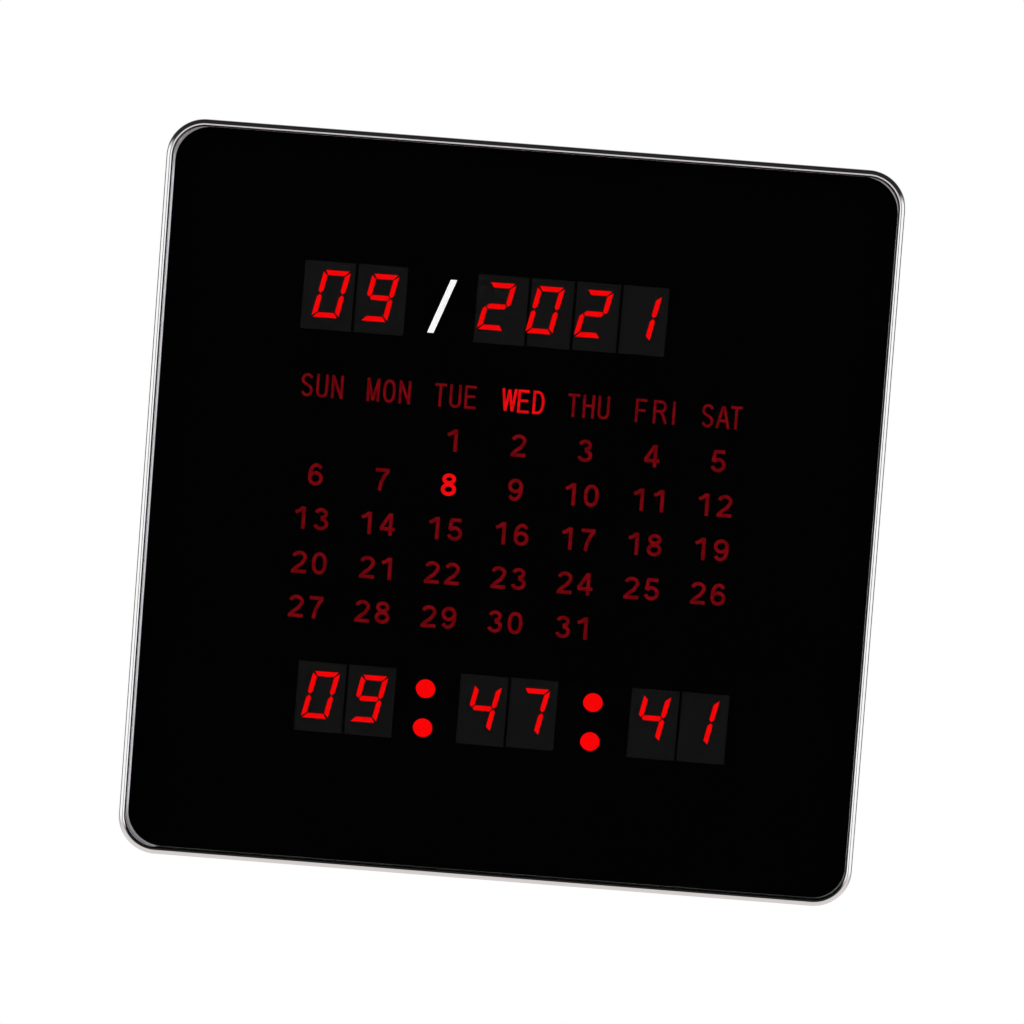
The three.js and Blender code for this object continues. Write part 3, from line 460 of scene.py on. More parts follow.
def add_glowing(name, color, uneven, size=1.5 * MM, rim=None):
    """A lit surface. Noise makes it uneven by a share of its colour, and where rim is set, faces that are
    turned away from the front are dimmed to that share."""
    sockets = {"Emission_Color": (*color, 1), "Emission_Strength": 1.0, "Specular_IOR_Level": 0.0}
    nodes, shader = principled(name, (0, 0, 0), 0.5, **sockets)
    place = nodes.add("ShaderNodeTexCoord").outputs
    noise = nodes.add("ShaderNodeTexNoise", {"Vector": place["Object"], "Scale": 1 / size, "Detail": 1.0})
    level = nodes.ramp(noise.outputs[0], *GLOW_RANGE, 1 - uneven, 1 + uneven)
    if rim is not None:
        facing = nodes.add("ShaderNodeSeparateXYZ", {0: place["Normal"]}).outputs["Y"]
        level = nodes.math("MULTIPLY", level, nodes.ramp(facing, *SLOPE_FACING, 1.0, rim))
    nodes.tree.links.new(nodes.dimmed(color, level), shader.inputs["Emission Color"])


add_glowing("lit_red", (0.93, 0.0014, 0.0022), 0.04, rim=0.3)
add_glowing("lamp_red", (1.0, 0.0012, 0.0018), 0.02, size=3 * MM)
add_glowing("lit_print", (0.88, 0.0035, 0.0056), 0.1)
add_glowing("lit_word_print", (0.77, 0.0035, 0.0056), 0.15)
# The unlit print's glow is painted light, standing in for the studio light on the red print.
add_glowing("unlit_print_painted_glow", (0.152, 0.0019, 0.0042), 0.22)
print("glowing:", list(FINISHES)[-5:])

# %% [markdown]
# Three finishes need something of their own. White ink gets a little painted glow, so that it stays white
# behind the panel. The tape gets a painted glow and painted shade round the corners. The clear sheet has to
# let the light of lamps through, which glass alone would stop.

# %% White ink, tape and clear sheet
# The tape's pale colour and glow are a painted highlight for the light on the panel's polished edge, and its
# dimming round the corners is painted shade.
TAPE_PAINTED_HIGHLIGHT = (0.86, 0.83, 0.88)
TAPE_PAINTED_GLOW = 0.31
TAPE_PAINTED_SHADE_SPAN = (80 * MM, 88 * MM)  # the heights where its shade starts and is full
TAPE_PAINTED_SHADE_LEVEL = 0.4


def add_shaded_tape():
    """Tape whose pale colour and glow are a painted highlight for the light on the panel's edge. Round the
    corners its colour and glow are dimmed as painted shade.
    """
    nodes, shader = principled("painted_highlight_tape", TAPE_PAINTED_HIGHLIGHT, 0.5, Emission_Strength=TAPE_PAINTED_GLOW)
    place = nodes.add("ShaderNodeTexCoord").outputs["Object"]
    height = nodes.math("ABSOLUTE", nodes.add("ShaderNodeSeparateXYZ", {0: place}).outputs["Z"])
    # Painted shade: the colour and glow are dimmed round the corners.
    color = nodes.dimmed(TAPE_PAINTED_HIGHLIGHT, nodes.ramp(height, *TAPE_PAINTED_SHADE_SPAN, 1.0, TAPE_PAINTED_SHADE_LEVEL))
    for socket in ("Base Color", "Emission Color"):
        nodes.tree.links.new(color, shader.inputs[socket])
    add_grain(nodes, shader, 0.0006, 0.00002)


def add_clear_sheet():
    """Glass that lets lamps through: rays from lamps meet plain transparency instead."""
    nodes, shader = principled("clear_acrylic", (1, 1, 1), 0.0, IOR=1.49, Transmission_Weight=1.0)
    shadow_ray = nodes.add("ShaderNodeLightPath").outputs["Is Shadow Ray"]
    open_way = nodes.add("ShaderNodeBsdfTransparent")
    mixed = nodes.add("ShaderNodeMixShader", {0: shadow_ray, 1: shader.outputs[0], 2: open_way.outputs[0]})
    output = next(node for node in nodes.tree.nodes if node.type == "OUTPUT_MATERIAL")
    nodes.tree.links.new(mixed.outputs[0], output.inputs["Surface"])


# Painted glow on the white print, so that it reads white behind the panel.
painted_ink_glow = {"Emission_Color": (1, 1, 1, 1), "Emission_Strength": 0.36}
add_grain(*principled("white_print", (0.93, 0.93, 0.93), 0.5, **painted_ink_glow), 0.0005, 0.000003)
add_shaded_tape()
add_clear_sheet()
print(len(FINISHES), "finishes in all")

# %% [markdown]
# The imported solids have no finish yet. How the name of a solid ends tells what it is made of, so one table
# serves them all, also those inside the case that show only through the keyholes and the battery door.

# %% Finish of each carried-over solid
FINISH_ENDINGS = {
    # finish: how the names of its solids end
    "dark_grey_plastic": ("digit_case", "digit_frame"), "unlit_resin": ("digit_lens",),
    "lamp_red": ("lamp",), "black_plastic": ("rear_cover", "battery_door"), "button_rubber": ("button",),
    "white_plastic": ("switch_plunger", "light_box", "diffuser", "holder"), "steel": ("coin_cell",),
    "component_black": ("switch_body", "jack", "buzzer", "chip"), "capacitor_sleeve": ("capacitor",),
    "board_green": ("display_board",), "black_print": ("mask_sheet",), "bright_plating": ("bezel_frame",),
    "clear_acrylic": ("front_panel",),
}


def finish_for(node):
    if "screw" in node:
        return "steel"
    return next(finish for finish, endings in FINISH_ENDINGS.items() if node.endswith(endings))


for node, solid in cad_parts.items():
    solid.data.materials.clear()
    solid.data.materials.append(FINISHES[finish_for(node)])
print(len(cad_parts), "solids finished")

# %% [markdown]
# The bezel is one moulded and plated ring: a skirt outside, a thin step, one ridge in front and a ledge
# behind the panel. The ridge has straight flanks, so each side of the frame mirrors one part of the room:
# the outer flank what lies outside that side, the inner one what lies across. It could be a bevelled
# curve, but carrying one exact profile round the rounded square keeps the lines true in the corners.

# %% Bezel ring
bezel_low, bezel_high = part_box("bezel_frame")
panel_low, panel_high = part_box("front_panel")
film_low, film_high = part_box("mask_sheet")
case_half, case_front, boss_foot = bezel_high.x, -bezel_low.y, -bezel_high.y
SKIRT_DEPTH = 10 * MM
CASE_CORNER = 10 * MM
BEZEL_WALL = 1.7 * MM
RIDGE = np.array([
    # inset, depth below the front, and how far the corner there is rounded
    (0, 0.75, 0.08), (0.2, 0.45, 0.03), (0.42, 0.43, 0.03), (1.14, 0, 0.26),
    (1.52, 0.4, 0.05), (1.64, 0.7, 0.04), (1.68, 0.95, 0.03),
]) * MM
BEND_STEPS = 8
LEDGE_REACH = 4.3 * MM
LEDGE_THICKNESS = 2 * MM
LEDGE_CORNER = 26 * MM
PLATED_EDGE = 0.2 * MM
ledge_front = -film_high.y
ledge_rear = ledge_front - LEDGE_THICKNESS
skirt_rear = case_front - SKIRT_DEPTH


def add_bezel():
    """Rounding lowers the ridge, so its points are lifted until the crest touches the front again."""
    inner = BEZEL_WALL + LEDGE_REACH
    ridge = np.stack([RIDGE[:, 0], case_front - RIDGE[:, 1]], axis=-1)
    behind = [(BEZEL_WALL, ledge_front), (inner, ledge_front), (inner, ledge_rear),
              (BEZEL_WALL, ledge_rear), (BEZEL_WALL, skirt_rear), (0, skirt_rear)]
    bends = [*RIDGE[:, 2], 0, PLATED_EDGE, PLATED_EDGE, 0, PLATED_EDGE, PLATED_EDGE]
    profile = softened(np.concatenate([ridge, behind]), bends, BEND_STEPS, closed=True)
    in_front = profile[:, 1] > ledge_front
    profile[in_front, 1] += case_front - profile[:, 1].max()
    corner = np.where(profile[:, 0] > BEZEL_WALL + PLATED_EDGE, LEDGE_CORNER, CASE_CORNER - profile[:, 0])
    levels = np.stack([case_half - profile[:, 0], corner, profile[:, 1]], axis=-1)
    mesh = grid_mesh("bezel_ring", square_loops(levels), ring=True)
    add_piece("bezel_ring", mesh, "bright_plating", stands_for=["bezel_frame"])


add_bezel()
print("bezel ring, mm:", round(case_half / MM, 2), "half size,", round(BEZEL_WALL / MM, 2), "wall")

# %% [markdown]
# The panel is a clear acrylic sheet with a polished edge. Two flat faces and a narrow slope are enough,
# but the slope is bent smooth, because a polished edge draws a thin line of light.

# %% Front panel
PANEL_BEVEL = 0.05 * MM
PANEL_BEND = 0.02 * MM
panel_half = panel_high.x
panel_front, panel_rear = -panel_low.y, -panel_high.y


def add_panel():
    flat = panel_half - 2 * PANEL_BEVEL
    steps = [(flat, panel_rear), (panel_half, panel_rear), (panel_half, panel_front - PANEL_BEVEL),
             (panel_half - PANEL_BEVEL, panel_front), (flat, panel_front)]
    side = softened(steps, [0, PANEL_BEND, PANEL_BEND, PANEL_BEND, 0], steps=4)
    corner = CASE_CORNER - (case_half - side[:, 0])
    levels = np.stack([side[:, 0], corner, side[:, 1]], axis=-1)
    mesh = grid_mesh("clear_panel", square_loops(levels))
    add_piece("clear_panel", mesh, "clear_acrylic", stands_for=["front_panel"])


add_panel()
print("panel, mm:", round((panel_front - panel_rear) / MM, 2), "thick")

# %% [markdown]
# Behind the panel lies a film printed black. Its windows are clear, so it is a plate with holes: five groups
# of rectangles parted by thin bars, and four round openings for the colon lamps. It is cut a little short at
# the left and in the corners, where the tape with its painted highlight shows.

# %% Black film
FILM_SIDES = np.array([-92.67, 93.1]) * MM
FILM_ENDS = np.array([-93.1, 93.1]) * MM
FILM_CORNERS = np.array([9.2, 9.15, 9.15, 8.3]) * MM
WINDOW_BAR = 0.71 * MM
WINDOWS = [
    # middle x and z, width and height in mm, shares of the width where a bar stands
    (-44.15, 52.17, 26.5, 17.6, (0.505,)),
    (11.75, 51.95, 49.15, 17.6, (0.274, 0.512, 0.754)),
    (-38.82, -51.28, 25.27, 18.05, (0.503,)),
    (3.1, -51.38, 25.26, 18.07, (0.501,)),
    (47.32, -51.53, 25.19, 18, (0.501,)),
]
WINDOW_TILT = math.radians(-0.45)
DOT_RADIUS = 2.52 * MM
DOT_MOVES = {"first": (-0.31, 0.01), "second": (-0.13, -0.16)}  # in mm, away from the plain lamps
LAMPS_IN_COLONS = [f"{which}_colon_{level}_lamp" for which in DOT_MOVES for level in ("upper", "lower")]


def circle(x, z, radius):
    angle = np.linspace(0, 2 * np.pi, TURN_STEPS, endpoint=False)
    return np.stack([x + radius * np.cos(angle), z + radius * np.sin(angle)], axis=-1)


def window_loops(x, z, width, height, shares, spare=0.0):
    """The rectangles of one window: its left edge, bars and right edge cut it into spans. Each rectangle
    is grown by spare on every side and turned about its middle by the tilt t, which takes a corner from
    (dx, dz) to (dx cos t - dz sin t, dx sin t + dz cos t)."""
    x, z, width, height = np.array([x, z, width, height]) * MM
    bars = x - width / 2 + width * np.array(shares)
    starts = np.concatenate([[x - width / 2], bars + WINDOW_BAR / 2]) - spare
    ends = np.concatenate([bars - WINDOW_BAR / 2, [x + width / 2]]) + spare
    middles, half_widths = (starts + ends)[:, None] / 2, (ends - starts)[:, None] / 2
    across, up = np.array([-1, 1, 1, -1]) * half_widths, np.array([-1, -1, 1, 1]) * (height / 2 + spare)
    cosine, sine = math.cos(WINDOW_TILT), math.sin(WINDOW_TILT)
    turned_x, turned_z = middles + cosine * across - sine * up, z + sine * across + cosine * up
    return list(np.stack([turned_x, turned_z], axis=-1))


def node_middle(node):
    low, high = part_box(node)
    return (low + high) / 2


def lamp_place(lamp):
    middle, move = node_middle(lamp), DOT_MOVES[lamp.split("_")[0]]
    return middle.x + move[0] * MM, middle.z + move[1] * MM


def add_film():
    outline = rounded_outline(FILM_SIDES, FILM_ENDS, FILM_CORNERS)
    holes = [loop for window in WINDOWS for loop in window_loops(*window)]
    dots = [circle(*lamp_place(lamp), DOT_RADIUS) for lamp in LAMPS_IN_COLONS]
    mesh = plate_mesh("black_film", [outline, *holes, *dots], -film_high.y, -film_low.y)
    add_piece("black_film", mesh, "black_print", stands_for=["mask_sheet"])


add_film()
print("film with", sum(len(window[4]) + 1 for window in WINDOWS), "windows")

# %% [markdown]
# Where the film is cut short a pale margin shows. It is drawn as the tape that holds the panel on its ledge,
# and its pale colour and glow are a painted highlight for the light on the panel's polished edge. A pale
# film edge would look much the same, but a ring of its own, in the same layer, can have its own finish.

# %% Edge tape
TAPE_SIDES = np.array([-93.08, 93.12]) * MM
TAPE_ENDS = np.array([-93.12, 93.12]) * MM
TAPE_CORNERS = np.array([8.3, 8.2, 8.2, 8.2]) * MM
TAPE_GAP = 0.01 * MM


def add_tape():
    outer = rounded_outline(TAPE_SIDES, TAPE_ENDS, TAPE_CORNERS)
    wider = TAPE_GAP * np.array([-1, 1])
    inner = rounded_outline(FILM_SIDES + wider, FILM_ENDS + wider, FILM_CORNERS + TAPE_GAP)
    add_piece("painted_highlight_tape", plate_mesh("painted_highlight_tape", [outer, inner], -film_high.y, -film_low.y), "painted_highlight_tape")


add_tape()
print("tape that shows at the left, mm:", round((FILM_SIDES[0] - TAPE_SIDES[0]) / MM, 2))

# %% [markdown]
# Under each window lies a digit module. A tinted film fills the window, level with the black one, and
# hides the unlit segments, so the whole window shows one even dark grey with a crisp edge. If the grey
# lay deeper, the edge of the black film would hide a strip of it at a slant.

# %% Module face films
TINT_BEHIND = 0.005 * MM  # how far it stands back from the black film's front
TINT_THICKNESS = 0.03 * MM
TINT_SPARE = -0.004 * MM
DIGITS = [f"{group}_{place}" for group, places in (
    ("month", ("tens", "ones")), ("year", ("thousands", "hundreds", "tens", "ones")),
    ("hours", ("tens", "ones")), ("minutes", ("tens", "ones")), ("seconds", ("tens", "ones")),
) for place in places]
tint_front = -film_low.y - TINT_BEHIND
tint_rear = tint_front - TINT_THICKNESS

window_cells = [loop for window in WINDOWS for loop in window_loops(*window, spare=TINT_SPARE)]
for digit, cell in zip(DIGITS, window_cells):
    name = f"{digit}_face_film"
    add_piece(name, plate_mesh(name, [cell], tint_rear, tint_front), "face_tint")
print(len(window_cells), "face films")

# %% [markdown]
# Each figure has seven light pipes whose ends show in its dark case. Where a lamp behind is on, the whole
# end glows evenly, so a lit segment is a thin slab with a soft edge, laid on the end of its pipe.

# %% Segment outlines
DIGIT_WIDTH = 7 * MM
DIGIT_HEIGHT = 12.3 * MM
LEVEL_BAR = 1.36 * MM
UPRIGHT_BAR = 1.33 * MM
SEGMENT_GAP = 0.36 * MM
SEGMENT_EDGE = 0.1 * MM
CORNER_CUT = 0.26 * MM
TIP_HALF_WIDTH = 0.15 * MM
TIP_LENGTH = 0.3 * MM
SHARPEST = 0.4  # holds back the corner of a very sharp outline when it is moved inwards


def segment_outlines():
    """The seven segments of an upright figure by letter, each a convex outline about its middle."""
    right, top = DIGIT_WIDTH / 2, DIGIT_HEIGHT / 2
    mitre, tip = SEGMENT_GAP / math.sqrt(2) / 2, SEGMENT_GAP / 2
    inner, middle_top = right - UPRIGHT_BAR, LEVEL_BAR / 2
    middle_x = right - UPRIGHT_BAR / 2
    bar = np.array([(inner - mitre, top - LEVEL_BAR), (right - CORNER_CUT - mitre, top),
                    (CORNER_CUT + mitre - right, top), (mitre - inner, top - LEVEL_BAR)])
    point = inner + middle_top - mitre - tip
    middle = np.array([(inner - mitre, -middle_top), (point, 0), (inner - mitre, middle_top),
                       (mitre - inner, middle_top), (-point, 0), (mitre - inner, -middle_top)])
    upright = np.array([(middle_x - TIP_HALF_WIDTH, tip), (middle_x + TIP_HALF_WIDTH, tip),
                        (right, tip + middle_top - TIP_LENGTH / 2), (right, top - CORNER_CUT - mitre),
                        (inner, top - LEVEL_BAR - mitre), (inner, tip + middle_top)])
    flip_x, flip_z = np.array([-1, 1]), np.array([1, -1])
    return {
        "a": bar, "b": upright, "c": upright * flip_z, "d": bar * flip_z,
        "e": upright * flip_x * flip_z, "f": upright * flip_x, "g": middle,
    }


def shrunk(outline, reach):
    """A convex outline moved inwards: each corner goes along the sum of its two edges' inner normals,
    reach * (n1 + n2) / (1 + n1.n2), which keeps every edge at the same distance from where it was."""
    ahead = np.roll(outline, -1, axis=0) - outline
    ahead /= np.linalg.norm(ahead, axis=1, keepdims=True)
    normal = np.stack([-ahead[:, 1], ahead[:, 0]], axis=-1)
    inwards = np.sign(((outline.mean(axis=0) - outline) * normal).sum(axis=1, keepdims=True))
    normal *= inwards
    before = np.roll(normal, 1, axis=0)
    spread = 1 + (normal * before).sum(axis=1, keepdims=True)
    return outline + reach * (normal + before) / np.maximum(spread, SHARPEST)


OUTLINES = segment_outlines()
print("segments:", "".join(OUTLINES))

# %% [markdown]
# The end of a light pipe stands a hair above the tinted film. Its edge slopes, and the finish is darker on
# a slope, so each segment has a soft rim. The figures lean to the right, as they do on such modules.

# %% Lit segments
DIGIT_LEAN = math.tan(math.radians(11.5))
SEGMENT_FOOT = 0.006 * MM
SEGMENT_RISE = 0.05 * MM
SEGMENT_MOVES = {
    # how far each group's figures stand from the middle of their modules, in mm
    "month": (-0.9, 0.0), "year": (-0.82, 0.1), "hours": (-0.8, -0.04), "minutes": (-0.64, -0.18),
    "seconds": (-0.46, 0.71),
}
SEGMENTS_OF = {"0": "abcdef", "1": "bc", "2": "abdeg", "4": "bcfg", "7": "abc", "9": "abcdfg"}
SHOWN_FIGURES = dict(zip(DIGITS, "092021094741"))


def segment_mesh(outline, foot):
    """The end of a light pipe: its outline at the foot, and a flat end inside it, joined by a slope."""
    levels = np.stack([outline, outline, shrunk(outline, SEGMENT_EDGE)])
    depths = foot + np.array([[0], [SEGMENT_RISE / 4], [SEGMENT_RISE]])
    return grid_mesh("segment", at_depth(levels, depths))


def add_lit_segments(digit, figure):
    module = node_middle(f"{digit}_digit_case")
    move_x, move_z = np.array(SEGMENT_MOVES[digit.split("_")[0]]) * MM
    slabs = []
    for letter in SEGMENTS_OF[figure]:
        x, z = OUTLINES[letter].T
        placed = np.stack([module.x + move_x + x + DIGIT_LEAN * z, module.z + move_z + z], axis=-1)
        slabs.append(segment_mesh(placed, tint_front + SEGMENT_FOOT))
    add_piece(f"{digit}_lit_segments", joined_mesh(digit, slabs), "lit_red")


for digit, figure in SHOWN_FIGURES.items():
    add_lit_segments(digit, figure)
print("shown figures:", "".join(SHOWN_FIGURES.values()))

# %% [markdown]
# The colon lamps are round lamps with domed ends. A flattened ball would do for the dome alone, but a lamp
# has a flange at its foot too, so the whole outline is turned about the axis: the flange, the straight side
# and a quarter of an ellipse.

# %% Colon lamps
DOME_RISE = 1.25 * MM
DOME_STEPS = 10
FLANGE = 0.4 * MM
FLANGE_HEIGHT = 1 * MM


def add_colon_lamp(node):
    low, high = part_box(node)
    foot, end = -high.y, -low.y
    radius = (high.x - low.x) / 2 - FLANGE
    turn = np.linspace(0, np.pi / 2, DOME_STEPS)
    dome = np.stack([radius * np.cos(turn), end - DOME_RISE + DOME_RISE * np.sin(turn)], axis=-1)
    start = [(0, foot), (radius + FLANGE, foot), (radius + FLANGE, foot + FLANGE_HEIGHT),
             (radius, foot + FLANGE_HEIGHT)]
    x, z = lamp_place(node)
    name = node.replace("_lamp", "_dome")
    mesh = grid_mesh(name, turned(np.concatenate([start, dome]), (x, 0, z)))
    add_piece(name, mesh, "lamp_red", stands_for=[node])


for node in LAMPS_IN_COLONS:
    add_colon_lamp(node)
print(len(LAMPS_IN_COLONS), "colon lamps")

# %% [markdown]
# The weekday names, the dates and the slash are print on the film. Each sign is a few pen strokes: a
# ribbon of one width along straight lines and arcs. That gives the even, plain letters of a printed
# calendar without a font file. Signs are drawn in a box one unit high, and scaled where they are printed.

# %% Pen strokes
ARC_STEPS = 16
LEAST_COSINE = 0.5  # holds back the outer corner of a stroke that turns very sharply


def arc(x, z, radius_x, radius_z, start, end, square=1.0):
    """Points at (x + radius_x c, z + radius_z s), where c and s are the cosine and sine of an angle that
    runs from start to end in degrees, raised to the power square with their signs kept."""
    angle = np.radians(np.linspace(start, end, ARC_STEPS + 1))
    cosine, sine = np.cos(angle), np.sin(angle)
    across = np.sign(cosine) * np.abs(cosine) ** square
    up = np.sign(sine) * np.abs(sine) ** square
    return np.stack([x + radius_x * across, z + radius_z * up], axis=-1)


def path(*stretches):
    """Single points and arcs in one row."""
    return np.concatenate([np.atleast_2d(np.array(stretch, float)) for stretch in stretches])


def ribbon(points, width):
    """The outline of a stroke: each point moved half a width to both sides along the mean of the normals
    of the two stretches that meet there, longer by one over the cosine of half the turn between them."""
    closed = np.allclose(points[0], points[-1])
    body = points[:-1] if closed else points
    ahead = np.roll(body, -1, axis=0) - body
    behind = body - np.roll(body, 1, axis=0)
    if not closed:
        ahead[-1], behind[0] = behind[-1], ahead[0]
    normals = [np.stack([-side[:, 1], side[:, 0]], axis=-1) / np.linalg.norm(side, axis=1, keepdims=True)
               for side in (ahead, behind)]
    mean = normals[0] + normals[1]
    mean /= np.maximum(np.linalg.norm(mean, axis=1, keepdims=True), TINY)
    reach = 1 / np.maximum((mean * normals[0]).sum(axis=1, keepdims=True), LEAST_COSINE)
    offset = mean * reach * width / 2
    if closed:
        return [body + offset, body - offset]
    return [np.concatenate([body + offset, (body - offset)[::-1]])]


# %% [markdown]
# The figures of the dates are narrow, with round bowls. Three and eight share the lower bowl, and nine is
# six turned over.

# %% Figures
FIGURE_PEN = 0.157  # width of a stroke in a sign one unit high
FIGURE_WIDTH = 0.67


def figure_strokes():
    """The strokes of each figure, as lists of paths."""
    w, c, h = FIGURE_WIDTH, FIGURE_WIDTH / 2, FIGURE_PEN / 2
    r = c - h
    bowl = (c, 0.29, r, 0.29 - h)
    six = [arc(c, 0.325, r, 0.325 - h, 0, 360),
           path((h, 0.33), arc(c + 0.02, 0.5, r + 0.02, 0.5 - h, 180, 40))]
    return {
        "0": [arc(c, 0.5, r, 0.5 - h, 0, 360, 0.85)],
        "1": [path((0.45, 0), (0.45, 1)), path((0.08, 0.745), (0.26, 0.82), (0.42, 0.965))],
        "2": [path(arc(c, 0.71, r, 0.29 - h, 168, -28), (0.44, 0.42), (0.2, 0.24), (0.09, 0.1)),
              path((0.0, h), (w, h))],
        "3": [arc(c - 0.01, 0.745, r - 0.035, 0.255 - h, 168, -92), arc(*bowl, 92, -168)],
        "4": [path((0.49, 0), (0.49, 1)), path((0.455, 0.965), (0.055, 0.31)),
              path((0.02, 0.29), (w + 0.02, 0.29))],
        "5": [path((0.13, 1 - h), (0.61, 1 - h)), path((0.175, 0.95), (0.105, 0.47)),
              arc(c - 0.005, 0.325, r + 0.005, 0.325 - h, 146, -165)],
        "6": six,
        "7": [path((0.02, 1 - h), (0.64, 1 - h)),
              path((0.6, 0.92), (0.44, 0.68), (0.31, 0.38), (0.24, 0))],
        "8": [arc(c, 0.75, r - 0.035, 0.25 - h, 0, 360), arc(*bowl, 0, 360)],
        "9": [np.array([w, 1]) - stroke for stroke in six],
    }


FIGURES = figure_strokes()
print("drawn figures:", "".join(FIGURES))

# %% [markdown]
# Only the letters of the weekday names are needed. They are plain capitals in a thinner pen, most of them
# half as wide as they are high.

# %% Letters
LETTER_PEN = 0.114
LETTER_WIDTH = 0.5


def letter_strokes():
    """The width and the strokes of each letter that the weekday names need."""
    w, c, h = LETTER_WIDTH, LETTER_WIDTH / 2, LETTER_PEN / 2
    r = c - h
    stem = path((h, 0), (h, 1))
    top_bar = path((0, 1 - h), (w - 0.02, 1 - h))
    return {
        "A": (0.62, [path((0.06, 0), (0.29, 0.96)), path((0.56, 0), (0.33, 0.96)),
                     path((0.15, 0.33), (0.47, 0.33))]),
        "D": (w, [stem,
                  path((0.03, 1 - h), arc(0.2, 0.5, w - 0.2 - h, 0.5 - h, 90, -90, 0.9), (0.03, h))]),
        "E": (w, [stem, top_bar, path((0, 0.53), (w - 0.05, 0.53)), path((0, h), (w, h))]),
        "F": (w, [stem, top_bar, path((0, 0.51), (w - 0.07, 0.51))]),
        "H": (w, [stem, path((w - h, 0), (w - h, 1)), path((h, 0.53), (w - h, 0.53))]),
        "I": (LETTER_PEN, [stem]),
        "M": (0.55, [stem, path((0.55 - h, 0), (0.55 - h, 1)), path((0.07, 0.93), (0.275, 0.05)),
                     path((0.48, 0.93), (0.275, 0.05))]),
        "N": (w, [stem, path((w - h, 0), (w - h, 1)), path((0.075, 0.93), (w - 0.075, 0.07))]),
        "O": (w + 0.03, [arc(c + 0.015, 0.5, r + 0.015, 0.5 - h, 0, 360, 0.8)]),
        "R": (0.62, [stem,
                     path((0.03, 1 - h), arc(0.3, 0.735, 0.2, 0.265 - h, 90, -90, 0.9), (0.03, 0.535)),
                     path((0.32, 0.53), (0.43, 0.36), (0.56, 0.0))]),
        "S": (w, [path(arc(c, 0.74, r, 0.26 - h, 18, 235), arc(c, 0.27, r, 0.27 - h, 55, -165))]),
        "T": (w, [path((0, 1 - h), (w, 1 - h)), path((c, 0), (c, 0.97))]),
        "U": (w, [path((h, 1), (h, 0.4), arc(c, 0.28, r, 0.28 - h, 180, 360, 0.9), (w - h, 0.4),
                       (w - h, 1))]),
        "W": (0.63, [path((0.045, 1), (0.165, 0.04)), path((0.315, 0.96), (0.165, 0.04)),
                     path((0.315, 0.96), (0.465, 0.04)), path((0.585, 1), (0.465, 0.04))]),
    }


LETTERS = letter_strokes()
print("drawn letters:", "".join(LETTERS))

# %% [markdown]
# A word is its signs side by side. Strokes of one sign cross, so each is printed a hair higher than the
# one before, as ink lies on ink, and no two faces share a plane.

# %% Print
PRINT_FOOT = -film_low.y + 0.01 * MM
PRINT_THICKNESS = 0.03 * MM
INK_STEP = 0.004 * MM
WEEKDAY_HEIGHT = 6.0 * MM
DATE_HEIGHT = 5.75 * MM
FIGURE_PITCH = 5.2 * MM
LETTER_GAP = 0.9 * MM
PAIR_GAPS = {"FR": 1.6 * MM, "RI": 1.25 * MM, "AT": 0.0, "WE": 0.3 * MM, "SA": 0.6 * MM}
CALENDAR_X = 0.83 * MM
CALENDAR_Z = 0.38 * MM
COLUMN_PITCH = 17.17 * MM
ROW_PITCH = 11.43 * MM
WEEKDAYS = ["SUN", "MON", "TUE", "WED", "THU", "FRI", "SAT"]
LIT_WEEKDAY = "WED"
LIT_WEEKDAY_MOVE = 0.3 * MM
LIT_DATE = 8
LIT_DATE_PEN = 0.172
DATE_MOVES = {13: -0.25 * MM, 14: -0.25 * MM}
FIRST_COLUMN = 2
FIRST_ROW_UP = 2.5  # how many rows the weekday names stand above the middle
SLASH = np.array([(-24.86, 44.71), (-23.2, 44.71), (-18.1, 58.71), (-19.76, 58.71)]) * MM


def stroke_slabs(strokes, pen, left, low, height):
    slabs = []
    for order, stroke in enumerate(strokes):
        loops = [np.array([left, low]) + loop * height for loop in ribbon(stroke, pen)]
        rise = PRINT_THICKNESS + order * INK_STEP
        slabs.append(plate_mesh("stroke", loops, PRINT_FOOT, PRINT_FOOT + rise))
    return slabs


def cell_middle(column, row):
    x = CALENDAR_X + (column - (len(WEEKDAYS) - 1) / 2) * COLUMN_PITCH
    return x, CALENDAR_Z + (FIRST_ROW_UP - row) * ROW_PITCH


def word_slabs(word, column, row):
    middle, level = cell_middle(column, row)
    middle += LIT_WEEKDAY_MOVE * (word == LIT_WEEKDAY)
    widths = [LETTERS[letter][0] * WEEKDAY_HEIGHT for letter in word]
    gaps = [PAIR_GAPS.get(word[i:i + 2], LETTER_GAP) for i in range(len(word) - 1)] + [0.0]
    left = middle - (sum(widths) + sum(gaps)) / 2
    slabs = []
    for letter, width, gap in zip(word, widths, gaps):
        low = level - WEEKDAY_HEIGHT / 2
        slabs += stroke_slabs(LETTERS[letter][1], LETTER_PEN, left, low, WEEKDAY_HEIGHT)
        left += width + gap
    return slabs


def date_slabs(date):
    """Figures one pitch apart, with the middle of their ink on the middle of the cell."""
    place = date - 1 + FIRST_COLUMN
    middle, level = cell_middle(place % len(WEEKDAYS), 1 + place // len(WEEKDAYS))
    pen = LIT_DATE_PEN if date == LIT_DATE else FIGURE_PEN
    strokes = [FIGURES[figure] for figure in str(date)]
    ink = [np.concatenate([loop[:, 0] for stroke in figure for loop in ribbon(stroke, pen)]) * DATE_HEIGHT
           for figure in strokes]
    first = middle - (ink[0].min() + ink[-1].max() + (len(ink) - 1) * FIGURE_PITCH) / 2
    first += DATE_MOVES.get(date, 0.0)
    slabs = []
    for i, figure in enumerate(strokes):
        slabs += stroke_slabs(figure, pen, first + i * FIGURE_PITCH, level - DATE_HEIGHT / 2, DATE_HEIGHT)
    return slabs


def add_print(name, slabs, finish):
    add_piece(name, joined_mesh(name, slabs), finish)


